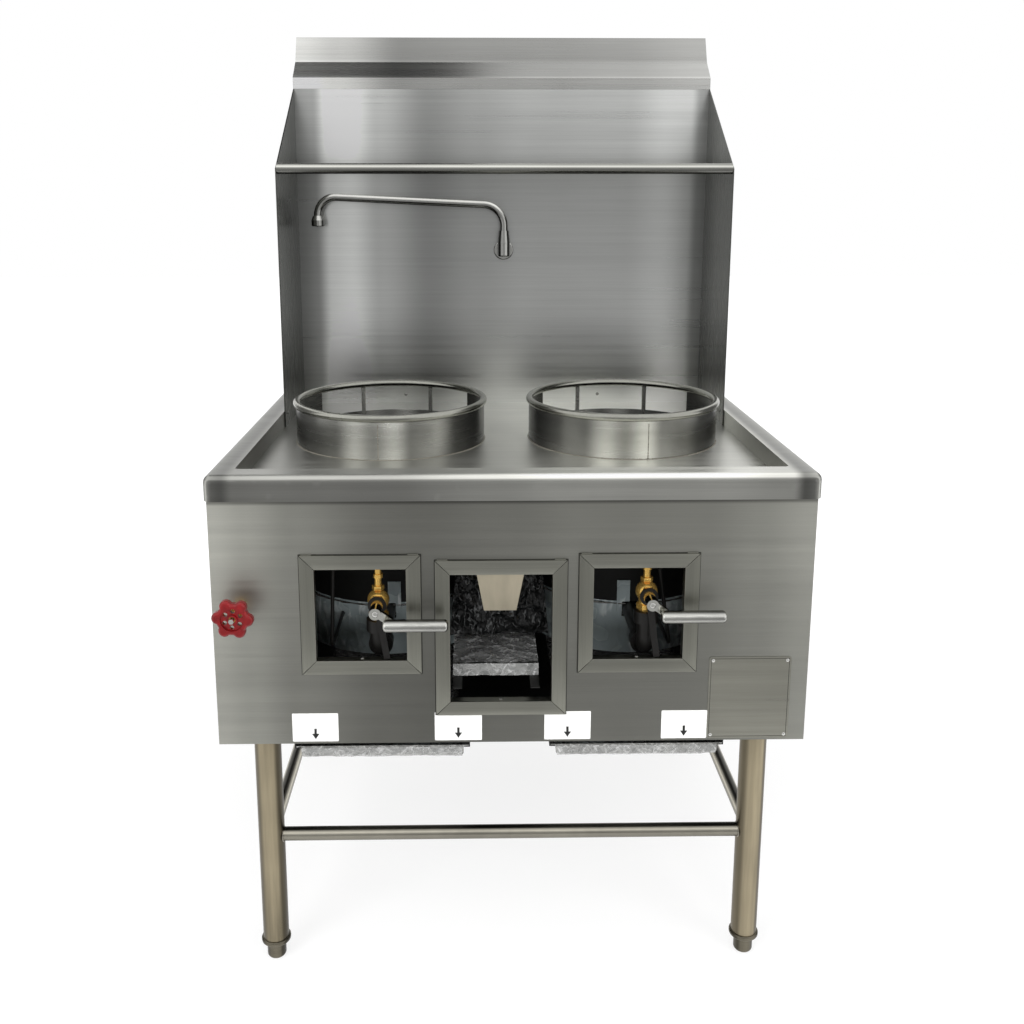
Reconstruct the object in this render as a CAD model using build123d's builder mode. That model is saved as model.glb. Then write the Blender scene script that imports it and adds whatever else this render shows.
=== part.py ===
from build123d import *
from math import cos, radians, sin, tan
import os

os.makedirs("parts", exist_ok=True)

# A two-hole gas wok range on four tubular legs. Millimetres, +Z up, +X to the right of a cook who
# stands in front, +Y away from the cook. The origin is on the floor under the middle of its box.

# ---- overall sizes ----
width = 914.0
depth = 790.0
front_reach = 38.0
rim_height = 845.0
overall_height = 1560.0

# ---- sheet metal and fits ----
sheet = 2.0
thin_sheet = 1.5
seat_gap = 0.3
running_gap = 0.1
hole_gap = 0.5

# ---- deck ----
nose_drop = 39.0
nose_radius = 12.0
nose_corner = 13.0
rim_front = 42.0
rim_side = 40.0
well_depth = 30.0
well_corner = 6.0

# ---- cabinet ----
cabinet_height = 433.5
panel_set_back = 15.0
rear_recess = 20.0
pan_edge = 30.0
pan_ledge = 10.0
pan_end_ledge = 40.0
leg_plate = 93.0
leg_plate_wall = 4.0

# ---- windows in the front panel: clear openings, their places and the bars round them ----
window_bar = 22.0
window_bar_wall = 4.0
window_sleeve = 12.0
window_tab_width = 16.0
window_tab_height = 1.8
side_window_width = 138.0
side_window_height = 146.5
side_window_low = 295.2
left_window_shift = 22.3
right_window_shift = 18.2
left_window_gap = 21.5
right_window_gap = 17.8
centre_window_height = 206.4
centre_window_low = 364.3

# ---- backguard ----
riser_depth = 100.0
lip_drop = 106.6
lip_height = 21.4
lip_proud = 1.5
slope_run = 38.0
slope_rise = 34.2
crown_run = 24.0
shield_reach = 229.0
shield_slope = 160.4
riser_rear_drop = 25.0
rail_radius = 9.75
rail_reach = 220.0
rail_drop = 159.9

# ---- wok rings and chambers ----
ring_depth = 371.0
ring_wall_radius = 168.0
ring_wall = 3.0
ring_tube_radius = 6.35
ring_rise = 40.4
ring_cut_height = 18.0
ring_cut_half_angle = 56.0
post_radius = 4.0
post_half_angle = 23.0
post_root = 6.0
chamber_radius = 170.0
chamber_lining = 10.0
chamber_bottom = 276.0
chamber_floor_hole = 110.0
skirt_radius = 171.0
skirt_height = 93.0
skirt_lug_width = 22.0
skirt_lug_height = 36.0
skirt_lug_shift = 14.0

# ---- burners ----
burner_level = 292.0
burner_height = 26.0
burner_outer = 95.0
burner_outer_inside = 70.0
burner_inner = 45.0
burner_inner_inside = 25.0
burner_arm = 14.0
outer_tips = 16
inner_tips = 8
tip_radius = 6.5
tip_height = 20.0
tip_mouth = 3.0

# ---- gas line ----
manifold_radius = 16.7
manifold_wall = 3.4
manifold_level = 128.0
manifold_depth = 42.0
manifold_end_reach = 123.5
manifold_bend = 40.0
thread_length = 16.0
thread_cut = 0.4
neck_length = 2.0
neck_cut = 1.0
valve_shift = 2.0
left_valve_drop = 208.0
right_valve_drop = 197.0
globe_radius = 17.0
neck_radius = 5.5
flare_radius = 7.5
flare_height = 6.0
neck_rise = 36.0
outlet_radius = 12.0
outlet_drop = 30.0
bonnet_radius = 9.0
bonnet_front = 12.0
burner_pipe_radius = 13.5
elbow_radius = 19.0
burner_pipe_wall = 2.8
burner_pipe_bend = 24.0

# ---- knee levers ----
stem_radius = 4.0
stem_inside = 18.0
hub_radius = 9.0
hub_front = -18.0
hub_back = 4.0
hub_recess = 1.5
bar_radius = 9.5
bar_length = 97.0
bar_start = 11.5
bar_drop = 15.0
bar_depth = -25.0
bar_end_round = 6.0
lug_width = 12.0
lug_front = -11.0
lug_wall = 7.0
stub_radius = 5.0

# ---- pilot tubes and valve straps ----
pilot_radius = 3.0
pilot_depth = 80.0
pilot_bend = 12.0
pilot_top_shift = (72.5, 19.5)
pilot_low_shift = (78.5, 45.5)
pilot_level = 303.0
pilot_end_depth = 280.0
strap_width = 10.0
strap_wall = 2.0
strap_depth = 16.0
strap_foot = 14.0

# ---- water valve and handwheel ----
water_side_gap = 42.5
water_level = 209.6
water_body_radius = 14.0
water_body_front = 24.0
water_body_back = 62.0
water_bonnet_radius = 10.0
water_bonnet_front = 2.0
wheel_reach = 31.0
wheel_lobes = 6
wheel_lobe_radius = 9.5
wheel_web_radius = 24.5
wheel_wall = 14.0
wheel_depth = -25.0
wheel_notch = 2.5
wheel_edge = 4.5
wheel_dish = 3.5
wheel_dish_radius = 17.5
wheel_hub_radius = 7.5
wheel_slot_radius = 3.4
wheel_slot_circle = 12.6
wheel_turn = -5.0
wheel_stem_radius = 5.0
wheel_nut_radius = 4.2
water_pipe_radius = 10.65
water_pipe_wall = 2.3
riser_pipe_radius = 8.0
riser_pipe_wall = 1.2
riser_pipe_level = 90.0
riser_pipe_gap = 45.0
riser_pipe_side_gap = 77.0
riser_pipe_bend = 25.0

# ---- swing spout ----
spout_x = 3.0
spout_stand_off = 25.0
spout_level = 290.0
flange_radius = 20.0
flange_wall = 5.0
spout_stub_radius = 9.0
boss_radius = 12.0
boss_low = 278.0
boss_high = 304.0
spout_post_radius = 6.0
spout_post_top = 322.0
collar_top = 330.0
collar_top_radius = 9.7
spout_tube_radius = 7.75
spout_tube_wall = 1.2
spout_corner_level = 380.5
nozzle_shield_gap = 42.7
spout_rise = 18.0
spout_bend_in = 43.0
spout_bend_out = 36.0
nozzle_low = 339.0
nozzle_radius = 13.0
nozzle_height = 21.0
nozzle_mouth = 9.5
nozzle_grip = 12.0

# ---- trays, chute and strainer ----
drip_tray_width = 253.0
drip_tray_length = 620.0
drip_tray_height = 17.0
drip_tray_front = 20.0
drip_tray_gap = 7.5
drip_tray_flange = 8.0
drip_tray_corner = 5.0
left_tray_shift = 5.5
right_tray_shift = 14.5
runner_wall = 1.5
runner_rear_gap = 26.0
scrap_left_gap = 3.3
scrap_right_gap = 17.5
scrap_length = 180.0
scrap_height = 19.0
scrap_front = 60.0
scrap_top = 324.0
scrap_rail = 14.0
scrap_hanger_depth = 243.0
scrap_hanger_width = 25.0
chute_shift = 0.1
chute_front = 62.0
chute_width = 73.0
chute_length = 70.0
chute_straight = 178.0
chute_bottom = 240.0
chute_mouth_width = 51.0
chute_mouth_length = 50.0
strainer_lip = 5.0
strainer_drop = 8.0
strainer_hole = 3.0
strainer_pitch = 11.0
strainer_rows = 5
flue_front_gap = 14.0
flue_rear_gap = 26.0
flue_end_gap = 16.7

# ---- legs ----
leg_side_gap = 66.0
leg_front_gap = 66.0
leg_rear_gap = 66.0
leg_radius = 21.0
leg_wall = 1.5
insert_rim_radius = 24.0
insert_rim_height = 8.0
insert_rim_round = 2.9
insert_plug = 41.0
insert_bore = 6.1
foot_height = 29.2
foot_radius = 15.5
foot_flat = 9.0
foot_stem_radius = 6.0
foot_stem_height = 48.3
stretcher_radius = 11.0
stretcher_height = 223.0
stretcher_cope = 0.1

# ---- rating plate and fasteners ----
plate_window_gap = 20.7
plate_side_gap = 28.0
plate_low_gap = 3.5
plate_height = 135.5
plate_wall = 0.8
plate_corner = 4.0
rivet_inset = 6.0
rivet_radius = 2.6
rivet_height = 1.2
screw_radius = 3.2
screw_height = 2.0
shield_bolt_inset = 25.0
shield_bolt_level = -7.0
splash_screw_inset = 214.7
splash_screw_level = -12.0

# ---- planes worked out from the sizes above ----
nose_y = front_reach - (depth + front_reach) / 2
back_y = nose_y + depth
splash_y = back_y - riser_depth
shield_front_y = splash_y - shield_reach
ring_y = nose_y + ring_depth
deck_z = rim_height - well_depth
deck_under_z = deck_z - sheet
cabinet_z = rim_height - cabinet_height
panel_y = nose_y + panel_set_back
panel_back_y = panel_y + sheet
panel_top_z = rim_height - nose_radius - sheet
skin_x = width / 2 - sheet
wall_x = skin_x - sheet
rear_panel_y = back_y - rear_recess
well_x = width / 2 - rim_side
guard_x = well_x - seat_gap
crown_z = overall_height
lip_z = crown_z - lip_drop
lip_top_z = lip_z + lip_height
shield_knee_z = lip_z - shield_slope
sides = (("left", -1), ("right", 1))

# ---- each ring stands in the middle of its half of the well; what serves it lines up with it ----
ring_x = well_x / 2
valve_x = ring_x - valve_shift
valve_z = {"left": rim_height - left_valve_drop, "right": rim_height - right_valve_drop}
side_pipe_x = (wall_x + ring_x + chamber_radius) / 2
water_x = water_side_gap - width / 2
leg_x = width / 2 - leg_side_gap

# ---- the side windows line up with the rings and the centre one fills what is left between ----
left_window_x = -ring_x - left_window_shift
right_window_x = ring_x - right_window_shift
centre_window_min = left_window_x + side_window_width / 2 + 2 * window_bar + left_window_gap
centre_window_max = right_window_x - side_window_width / 2 - 2 * window_bar - right_window_gap
centre_window_width = centre_window_max - centre_window_min
centre_window_x = (centre_window_min + centre_window_max) / 2

# ---- the drain and its scrap tray line up with the centre window ----
chute_x = centre_window_x - chute_shift
drain_x_min = chute_x - chute_width / 2 + thin_sheet
drain_x_max = chute_x + chute_width / 2 - thin_sheet
drain_y_min = nose_y + chute_front + thin_sheet
drain_y_max = nose_y + chute_front + chute_length - thin_sheet
scrap_x_min = centre_window_min + scrap_left_gap
scrap_x_max = centre_window_max - scrap_right_gap


def slab(x_min, x_max, y_min, y_max, z_min, z_max, mode=Mode.ADD):
    """A straight-sided block between its limits, in the part being built."""
    with Locations(((x_min + x_max) / 2, (y_min + y_max) / 2, (z_min + z_max) / 2)):
        Box(x_max - x_min, y_max - y_min, z_max - z_min, mode=mode)


def upright(x, y, z_min, z_max, radius, mode=Mode.ADD):
    """A round bar along Z, in the part being built."""
    with Locations((x, y, (z_min + z_max) / 2)):
        Cylinder(radius, z_max - z_min, mode=mode)


def lengthwise(x, z, y_min, y_max, radius, mode=Mode.ADD):
    """A round bar along Y, in the part being built."""
    with Locations(Location((x, (y_min + y_max) / 2, z), (90, 0, 0))):
        Cylinder(radius, y_max - y_min, mode=mode)


def crosswise(y, z, x_min, x_max, radius, mode=Mode.ADD):
    """A round bar along X, in the part being built."""
    with Locations(Location(((x_min + x_max) / 2, y, z), (0, 90, 0))):
        Cylinder(radius, x_max - x_min, mode=mode)


def bent_tube(points, bends, radius, wall):
    """A round tube with a bore along straight runs joined by tangent bends."""
    with BuildPart() as tube:
        with BuildLine() as route:
            FilletPolyline(*points, radius=bends)
        with BuildSketch(Plane(route.line @ 0, z_dir=route.line % 0)):
            Circle(radius)
            Circle(radius - wall, mode=Mode.SUBTRACT)
        sweep()
    return tube


def nose_block(inset):
    """The deck's outer form, or with an inset the hollow under its sheet."""
    with BuildPart() as block:
        with BuildSketch(Plane.XY.offset(rim_height - nose_drop)) as outline:
            with Locations((0, (nose_y + back_y) / 2)):
                Rectangle(width - 2 * inset, depth - 2 * inset)
            fillet(outline.vertices().group_by(Axis.Y)[0], nose_corner - inset)
        extrude(amount=nose_drop - inset)
        crown = block.edges().group_by(Axis.Z)[-1].sort_by(Axis.Y)[:-1]
        fillet(crown, nose_radius - inset)
    return block


# ---- deck: one folded sheet with a raised rim, a sunk well and a rounded nose ----
nose_outside = nose_block(0.0)
nose_inside = nose_block(sheet)
with BuildPart() as deck_top:
    add(nose_outside.part)
    add(nose_inside.part, mode=Mode.SUBTRACT)
    slab(-well_x - sheet, well_x + sheet, nose_y + rim_front - sheet, splash_y + 2 * sheet,
         deck_under_z, rim_height)
    with BuildSketch(Plane.XY.offset(deck_z)) as well:
        with Locations((0, (nose_y + rim_front + splash_y + sheet) / 2)):
            Rectangle(2 * well_x, splash_y + sheet - nose_y - rim_front)
        fillet(well.vertices().group_by(Axis.Y)[0], well_corner)
    extrude(amount=well_depth, mode=Mode.SUBTRACT)
    for name, side in sides:
        upright(side * ring_x, ring_y, deck_under_z, deck_z, chamber_radius - chamber_lining,
                Mode.SUBTRACT)
    slab(drain_x_min, drain_x_max, drain_y_min, drain_y_max, deck_under_z, deck_z, Mode.SUBTRACT)
    slab(flue_end_gap - guard_x, guard_x - flue_end_gap, splash_y + flue_front_gap,
         back_y - flue_rear_gap, rim_height - sheet, rim_height, Mode.SUBTRACT)
deck_top.part.label = "deck_top"
export_step(deck_top.part, "parts/deck_top.step")

# ---- front panel, with its three openings and the hole for the water valve ----
window_names = ("left", "centre", "right")
window_x = {"left": left_window_x, "centre": centre_window_x, "right": right_window_x}
window_width = {"left": side_window_width, "centre": centre_window_width,
                "right": side_window_width}
window_height = {"left": side_window_height, "centre": centre_window_height,
                 "right": side_window_height}
window_low = {"left": side_window_low, "centre": centre_window_low, "right": side_window_low}
window_z = {name: rim_height - window_low[name] + window_height[name] / 2 for name in window_names}
sleeve_margin = thin_sheet + running_gap

with BuildPart() as front_panel:
    slab(-skin_x, skin_x, panel_y, panel_back_y, cabinet_z, panel_top_z)
    for name in window_names:
        half_width = window_width[name] / 2 + sleeve_margin
        half_height = window_height[name] / 2 + sleeve_margin
        slab(window_x[name] - half_width, window_x[name] + half_width, panel_y, panel_back_y,
             window_z[name] - half_height, window_z[name] + half_height, Mode.SUBTRACT)
    lengthwise(water_x, rim_height - water_level, panel_y, panel_back_y,
               water_bonnet_radius + seat_gap, Mode.SUBTRACT)
front_panel.part.label = "front_panel"
export_step(front_panel.part, "parts/front_panel.step")

# ---- window frames: a mitred bar on the panel's face and a sleeve through its opening ----
for name in window_names:
    bar_front_y = panel_y - window_bar_wall
    with BuildPart() as window_frame:
        with BuildSketch(Plane.XZ.offset(-panel_y)):
            with Locations((window_x[name], window_z[name])):
                Rectangle(window_width[name] + 2 * window_bar, window_height[name] + 2 * window_bar)
                Rectangle(window_width[name], window_height[name], mode=Mode.SUBTRACT)
        extrude(amount=window_bar_wall)
        outer_edges = window_frame.edges().filter_by(Axis.Y).group_by(SortBy.DISTANCE)[-1]
        fillet(outer_edges, window_bar_wall / 2)
        with BuildSketch(Plane.XZ.offset(-panel_y - window_sleeve)):
            with Locations((window_x[name], window_z[name])):
                Rectangle(window_width[name] + 2 * thin_sheet, window_height[name] + 2 * thin_sheet)
                Rectangle(window_width[name], window_height[name], mode=Mode.SUBTRACT)
        extrude(amount=window_sleeve)
        frame_top_z = window_z[name] + window_height[name] / 2 + window_bar
        tab_x = window_width[name] / 2 + window_bar - window_tab_width
        for side in (-1, 1):
            tab_middle = window_x[name] + side * tab_x
            slab(tab_middle - window_tab_width / 2, tab_middle + window_tab_width / 2,
                 bar_front_y + window_bar_wall / 2, panel_y, frame_top_z,
                 frame_top_z + window_tab_height)
    window_frame.part.label = f"{name}_window_frame"
    export_step(window_frame.part, f"parts/{name}_window_frame.step")

# ---- cabinet sides, each a flat sheet behind the front panel's edge ----
for name, side in sides:
    with BuildPart() as side_panel:
        slab(min(side * wall_x, side * skin_x), max(side * wall_x, side * skin_x),
             panel_back_y, back_y - sheet, cabinet_z, panel_top_z)
    side_panel.part.label = f"{name}_side_panel"
    export_step(side_panel.part, f"parts/{name}_side_panel.step")

# ---- rear panel, set in from the back, with holes for the gas and water pipes ----
with BuildPart() as rear_panel:
    slab(-wall_x, wall_x, rear_panel_y - sheet, rear_panel_y, cabinet_z, panel_top_z)
    lengthwise(side_pipe_x, rim_height - manifold_level, rear_panel_y - sheet, rear_panel_y,
               manifold_radius + seat_gap, Mode.SUBTRACT)
    lengthwise(water_x, rim_height - water_level, rear_panel_y - sheet, rear_panel_y,
               water_pipe_radius + seat_gap, Mode.SUBTRACT)
rear_panel.part.label = "rear_panel"
export_step(rear_panel.part, "parts/rear_panel.step")

# ---- base pan: the cabinet's folded floor, open over each drip tray, with a plate over each leg ----
pan_back_y = rear_panel_y - sheet
tray_x = {"left": left_tray_shift - ring_x, "right": ring_x - right_tray_shift}
tray_half = drip_tray_width / 2
tray_front_y = nose_y + drip_tray_front
tray_back_y = tray_front_y + drip_tray_length
with BuildPart() as base_pan:
    slab(-wall_x, wall_x, panel_back_y, pan_back_y, cabinet_z, cabinet_z + pan_edge)
    slab(-wall_x + sheet, wall_x - sheet, panel_back_y + sheet, pan_back_y - sheet,
         cabinet_z + sheet, cabinet_z + pan_edge, Mode.SUBTRACT)
    for name, side in sides:
        slab(tray_x[name] - tray_half + pan_ledge, tray_x[name] + tray_half - pan_ledge,
             tray_front_y + pan_end_ledge, tray_back_y - pan_end_ledge,
             cabinet_z, cabinet_z + sheet, Mode.SUBTRACT)
        plate_x = (side * (wall_x - sheet), side * (wall_x - leg_plate))
        for plate_y in ((panel_back_y + sheet, panel_back_y + leg_plate),
                        (pan_back_y - leg_plate, pan_back_y - sheet)):
            slab(min(plate_x), max(plate_x), plate_y[0], plate_y[1],
                 cabinet_z + sheet, cabinet_z + sheet + leg_plate_wall)
base_pan.part.label = "base_pan"
export_step(base_pan.part, "parts/base_pan.step")

# ---- backguard: the splash, a shield at each end, the flue riser behind and the cap on top ----
with BuildPart() as back_splash:
    slab(-guard_x, guard_x, splash_y, splash_y + sheet, deck_z, lip_top_z - sheet)
back_splash.part.label = "back_splash"
export_step(back_splash.part, "parts/back_splash.step")

for name, side in sides:
    with BuildPart() as shield:
        with BuildSketch(Plane.YZ.offset(side * guard_x)):
            with BuildLine():
                Polyline((shield_front_y, deck_z), (splash_y, deck_z), (splash_y, lip_z),
                         (shield_front_y, shield_knee_z), close=True)
            make_face()
        extrude(amount=-side * sheet)
    shield.part.label = f"{name}_shield"
    export_step(shield.part, f"parts/{name}_shield.step")

with BuildPart() as flue_riser:
    slab(-guard_x, guard_x, splash_y + sheet, back_y, rim_height, lip_z)
    slab(-guard_x, guard_x, back_y - thin_sheet, back_y, rim_height, crown_z - riser_rear_drop)
    slab(-guard_x + thin_sheet, guard_x - thin_sheet, splash_y + sheet, back_y - thin_sheet,
         rim_height, lip_z, Mode.SUBTRACT)
flue_riser.part.label = "flue_riser"
export_step(flue_riser.part, "parts/flue_riser.step")

slope_top_y = splash_y + slope_run
slope_top_z = lip_top_z + slope_rise
crown_y = slope_top_y + crown_run
with BuildPart() as flue_cap:
    with BuildSketch(Plane.YZ.offset(-guard_x)):
        with BuildLine():
            Polyline((splash_y - lip_proud, lip_z), (splash_y - lip_proud, lip_top_z),
                     (slope_top_y, slope_top_z), (crown_y, crown_z),
                     (back_y - thin_sheet, crown_z - riser_rear_drop), (back_y - thin_sheet, lip_z),
                     close=True)
        make_face()
    extrude(amount=2 * guard_x)
    with BuildSketch(Plane.YZ.offset(-guard_x + thin_sheet)):
        with BuildLine():
            Polyline((splash_y, lip_z), (splash_y, lip_top_z - thin_sheet / 2),
                     (slope_top_y + thin_sheet, slope_top_z - thin_sheet),
                     (crown_y + thin_sheet, crown_z), (back_y, crown_z), (back_y, lip_z), close=True)
        make_face()
    extrude(amount=2 * guard_x - 2 * thin_sheet, mode=Mode.SUBTRACT)
    slab(-guard_x, guard_x, splash_y, splash_y + sheet, lip_z, lip_top_z - sheet, Mode.SUBTRACT)
flue_cap.part.label = "flue_cap"
export_step(flue_cap.part, "parts/flue_cap.step")

with BuildPart() as utensil_rail:
    crosswise(splash_y - rail_reach, lip_z - rail_drop, sheet - guard_x, guard_x - sheet, rail_radius)
utensil_rail.part.label = "utensil_rail"
export_step(utensil_rail.part, "parts/utensil_rail.step")

# ---- wok rings: a rolled wall cut low at the rear, two posts there and a round bar on top ----
ring_tube_z = rim_height + ring_rise
ring_top_z = ring_tube_z - ring_tube_radius
cut_z = deck_z + ring_cut_height
ring_middle = ring_wall_radius - ring_wall / 2
cut_reach = 2 * ring_wall_radius
cut_rear_y = ring_y + cut_reach
cut_half_width = cut_reach * tan(radians(ring_cut_half_angle))
for name, side in sides:
    with BuildPart() as ring_wall_part:
        with BuildSketch(Plane.XY.offset(deck_z)):
            with Locations((side * ring_x, ring_y)):
                Circle(ring_wall_radius)
                Circle(ring_wall_radius - ring_wall, mode=Mode.SUBTRACT)
        extrude(amount=ring_top_z - deck_z)
        with BuildSketch(Plane.XY.offset(cut_z)):
            with BuildLine():
                Polyline((side * ring_x, ring_y), (side * ring_x - cut_half_width, cut_rear_y),
                         (side * ring_x + cut_half_width, cut_rear_y), close=True)
            make_face()
        extrude(amount=ring_top_z - cut_z, mode=Mode.SUBTRACT)
        for turn in (-post_half_angle, post_half_angle):
            ring_post_x = side * ring_x + ring_middle * sin(radians(turn))
            ring_post_y = ring_y + ring_middle * cos(radians(turn))
            upright(ring_post_x, ring_post_y, cut_z - post_root, ring_top_z, post_radius)
    ring_wall_part.part.label = f"{name}_ring_wall"
    export_step(ring_wall_part.part, f"parts/{name}_ring_wall.step")

    with BuildPart() as ring_rim:
        with Locations((side * ring_x, ring_y, ring_tube_z)):
            Torus(ring_middle, ring_tube_radius)
    ring_rim.part.label = f"{name}_ring_rim"
    export_step(ring_rim.part, f"parts/{name}_ring_rim.step")

# ---- combustion chambers under the deck, open at the top, with a turned-in floor ----
chamber_z = rim_height - chamber_bottom
for name, side in sides:
    with BuildPart() as chamber:
        upright(side * ring_x, ring_y, chamber_z - sheet, deck_under_z, chamber_radius)
        upright(side * ring_x, ring_y, chamber_z, deck_under_z, chamber_radius - chamber_lining,
                Mode.SUBTRACT)
        upright(side * ring_x, ring_y, chamber_z - sheet, chamber_z, chamber_floor_hole, Mode.SUBTRACT)
        upright(side * ring_x, ring_y, chamber_z - sheet, chamber_z, skirt_radius)
        upright(side * ring_x, ring_y, chamber_z - sheet, chamber_z, chamber_floor_hole, Mode.SUBTRACT)
    chamber.part.label = f"{name}_chamber"
    export_step(chamber.part, f"parts/{name}_chamber.step")

# ---- heat skirts around the burners, notched for the gas pipe, with a hanging lug each ----
burner_z = rim_height - burner_level
skirt_top_z = chamber_z - sheet
skirt_inside = skirt_radius - thin_sheet
pilot_z = rim_height - pilot_level
pilot_low_x = tuple(side * (valve_x + shift) for (name, side), shift in zip(sides, pilot_low_shift))
with BuildPart() as burner_skirts:
    for index, (name, side) in enumerate(sides):
        upright(side * ring_x, ring_y, skirt_top_z - skirt_height, skirt_top_z, skirt_radius)
        upright(side * ring_x, ring_y, skirt_top_z - skirt_height, skirt_top_z, skirt_inside,
                Mode.SUBTRACT)
        lug_middle = side * ring_x - side * skirt_lug_shift
        for lug_back_y, lug_top_z in ((ring_y - skirt_inside, skirt_top_z),
                                      (ring_y - skirt_radius, chamber_z + skirt_lug_height)):
            slab(lug_middle - skirt_lug_width / 2, lug_middle + skirt_lug_width / 2,
                 ring_y - skirt_radius - sheet, lug_back_y, skirt_top_z - skirt_lug_height / 2, lug_top_z)
        notch = burner_pipe_radius + hole_gap
        slab(side * valve_x - notch, side * valve_x + notch, ring_y - skirt_radius - sheet,
             ring_y - skirt_radius / 2, burner_z - notch, skirt_top_z, Mode.SUBTRACT)
        lengthwise(pilot_low_x[index], pilot_z, ring_y - skirt_radius, ring_y - skirt_radius / 2,
                   pilot_radius + hole_gap, Mode.SUBTRACT)
burner_skirts.part.label = "burner_skirts"
export_step(burner_skirts.part, "parts/burner_skirts.step")

# ---- burners: two rings on four arms, with a gas boss at the front and lugs to the skirt ----
burner_top_z = burner_z + burner_height / 2
burner_low_z = burner_z - burner_height / 2
burner_front_y = ring_y - burner_outer - burner_height
for name, side in sides:
    with BuildPart() as burner:
        with BuildSketch(Plane.XY.offset(burner_low_z)):
            with Locations((side * ring_x, ring_y)):
                Circle(burner_outer)
                Circle(burner_outer_inside, mode=Mode.SUBTRACT)
                Circle(burner_inner)
                Circle(burner_inner_inside, mode=Mode.SUBTRACT)
                Rectangle(burner_arm, 2 * burner_outer - burner_arm)
                Rectangle(2 * skirt_radius, burner_arm)
            with Locations((side * ring_x, ring_y + (burner_outer_inside + skirt_radius) / 2)):
                Rectangle(burner_arm, skirt_radius - burner_outer_inside)
            with Locations((side * ring_x, ring_y)):
                Circle(skirt_inside, mode=Mode.INTERSECT)
        extrude(amount=burner_height)
        lengthwise(side * valve_x, burner_z, burner_front_y, ring_y - burner_outer_inside,
                   burner_height / 2)
    burner.part.label = f"{name}_burner"
    export_step(burner.part, f"parts/{name}_burner.step")

# ---- burner tips: one pointed jet over every port of both rings ----
tip_circles = (((burner_outer + burner_outer_inside) / 2, outer_tips),
               ((burner_inner + burner_inner_inside) / 2, inner_tips))
with BuildPart() as burner_tips:
    for name, side in sides:
        for circle_radius, tip_count in tip_circles:
            with Locations((side * ring_x, ring_y, burner_top_z)):
                with PolarLocations(circle_radius, tip_count):
                    Cone(tip_radius, tip_mouth, tip_height, align=(Align.CENTER, Align.CENTER, Align.MIN))
burner_tips.part.label = "burner_tips"
export_step(burner_tips.part, "parts/burner_tips.step")

# ---- gas manifold: across the front above the valves, then back to a threaded end ----
manifold_y = nose_y + manifold_depth
manifold_z = rim_height - manifold_level
manifold_end_x = -valve_x - manifold_end_reach
thread_y = back_y - thread_length
neck_y = thread_y - neck_length
manifold_route = ((manifold_end_x, manifold_y, manifold_z), (side_pipe_x, manifold_y, manifold_z),
                  (side_pipe_x, neck_y, manifold_z))
manifold_tube = bent_tube(manifold_route, manifold_bend, manifold_radius, manifold_wall)
with BuildPart() as gas_manifold:
    add(manifold_tube.part)
    crosswise(manifold_y, manifold_z, manifold_end_x, manifold_end_x + manifold_wall, manifold_radius)
    lengthwise(side_pipe_x, manifold_z, thread_y, back_y, manifold_radius - thread_cut)
    lengthwise(side_pipe_x, manifold_z, neck_y, thread_y, manifold_radius - neck_cut)
    lengthwise(side_pipe_x, manifold_z, neck_y, back_y, manifold_radius - manifold_wall, Mode.SUBTRACT)
gas_manifold.part.label = "gas_manifold"
export_step(gas_manifold.part, "parts/gas_manifold.step")

# ---- gas valves: a globe body, its neck up to the manifold, its bonnet and its outlet ----
for name, side in sides:
    axis_x = side * valve_x
    axis_z = valve_z[name]
    neck_top_z = manifold_z - manifold_radius
    flare_z = axis_z + neck_rise
    with BuildPart() as gas_valve:
        with Locations((axis_x, manifold_y, axis_z)):
            Sphere(globe_radius)
        upright(axis_x, manifold_y, axis_z, neck_top_z, neck_radius)
        upright(axis_x, manifold_y, flare_z, flare_z + flare_height, flare_radius)
        upright(axis_x, manifold_y, axis_z - outlet_drop, axis_z, outlet_radius)
        lengthwise(axis_x, axis_z, nose_y + bonnet_front, manifold_y, bonnet_radius)
        lengthwise(axis_x, axis_z, nose_y + bonnet_front, nose_y + bonnet_front + stem_inside + seat_gap,
                   stem_radius + running_gap, Mode.SUBTRACT)
    gas_valve.part.label = f"{name}_gas_valve"
    export_step(gas_valve.part, f"parts/{name}_gas_valve.step")

# ---- burner pipes: down from the valve, round an elbow and back to the burner's boss ----
for name, side in sides:
    pipe_x = side * valve_x
    outlet_z = valve_z[name] - outlet_drop
    pipe_route = ((pipe_x, manifold_y, outlet_z), (pipe_x, manifold_y, burner_z),
                  (pipe_x, burner_front_y, burner_z))
    burner_tube = bent_tube(pipe_route, burner_pipe_bend, burner_pipe_radius, burner_pipe_wall)
    with BuildPart() as burner_pipe:
        add(burner_tube.part)
        upright(pipe_x, manifold_y, outlet_z - elbow_radius, outlet_z, elbow_radius)
        elbow_y = manifold_y + burner_pipe_bend
        lengthwise(pipe_x, burner_z, elbow_y, elbow_y + elbow_radius, elbow_radius)
    burner_pipe.part.label = f"{name}_burner_pipe"
    export_step(burner_pipe.part, f"parts/{name}_burner_pipe.step")

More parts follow.
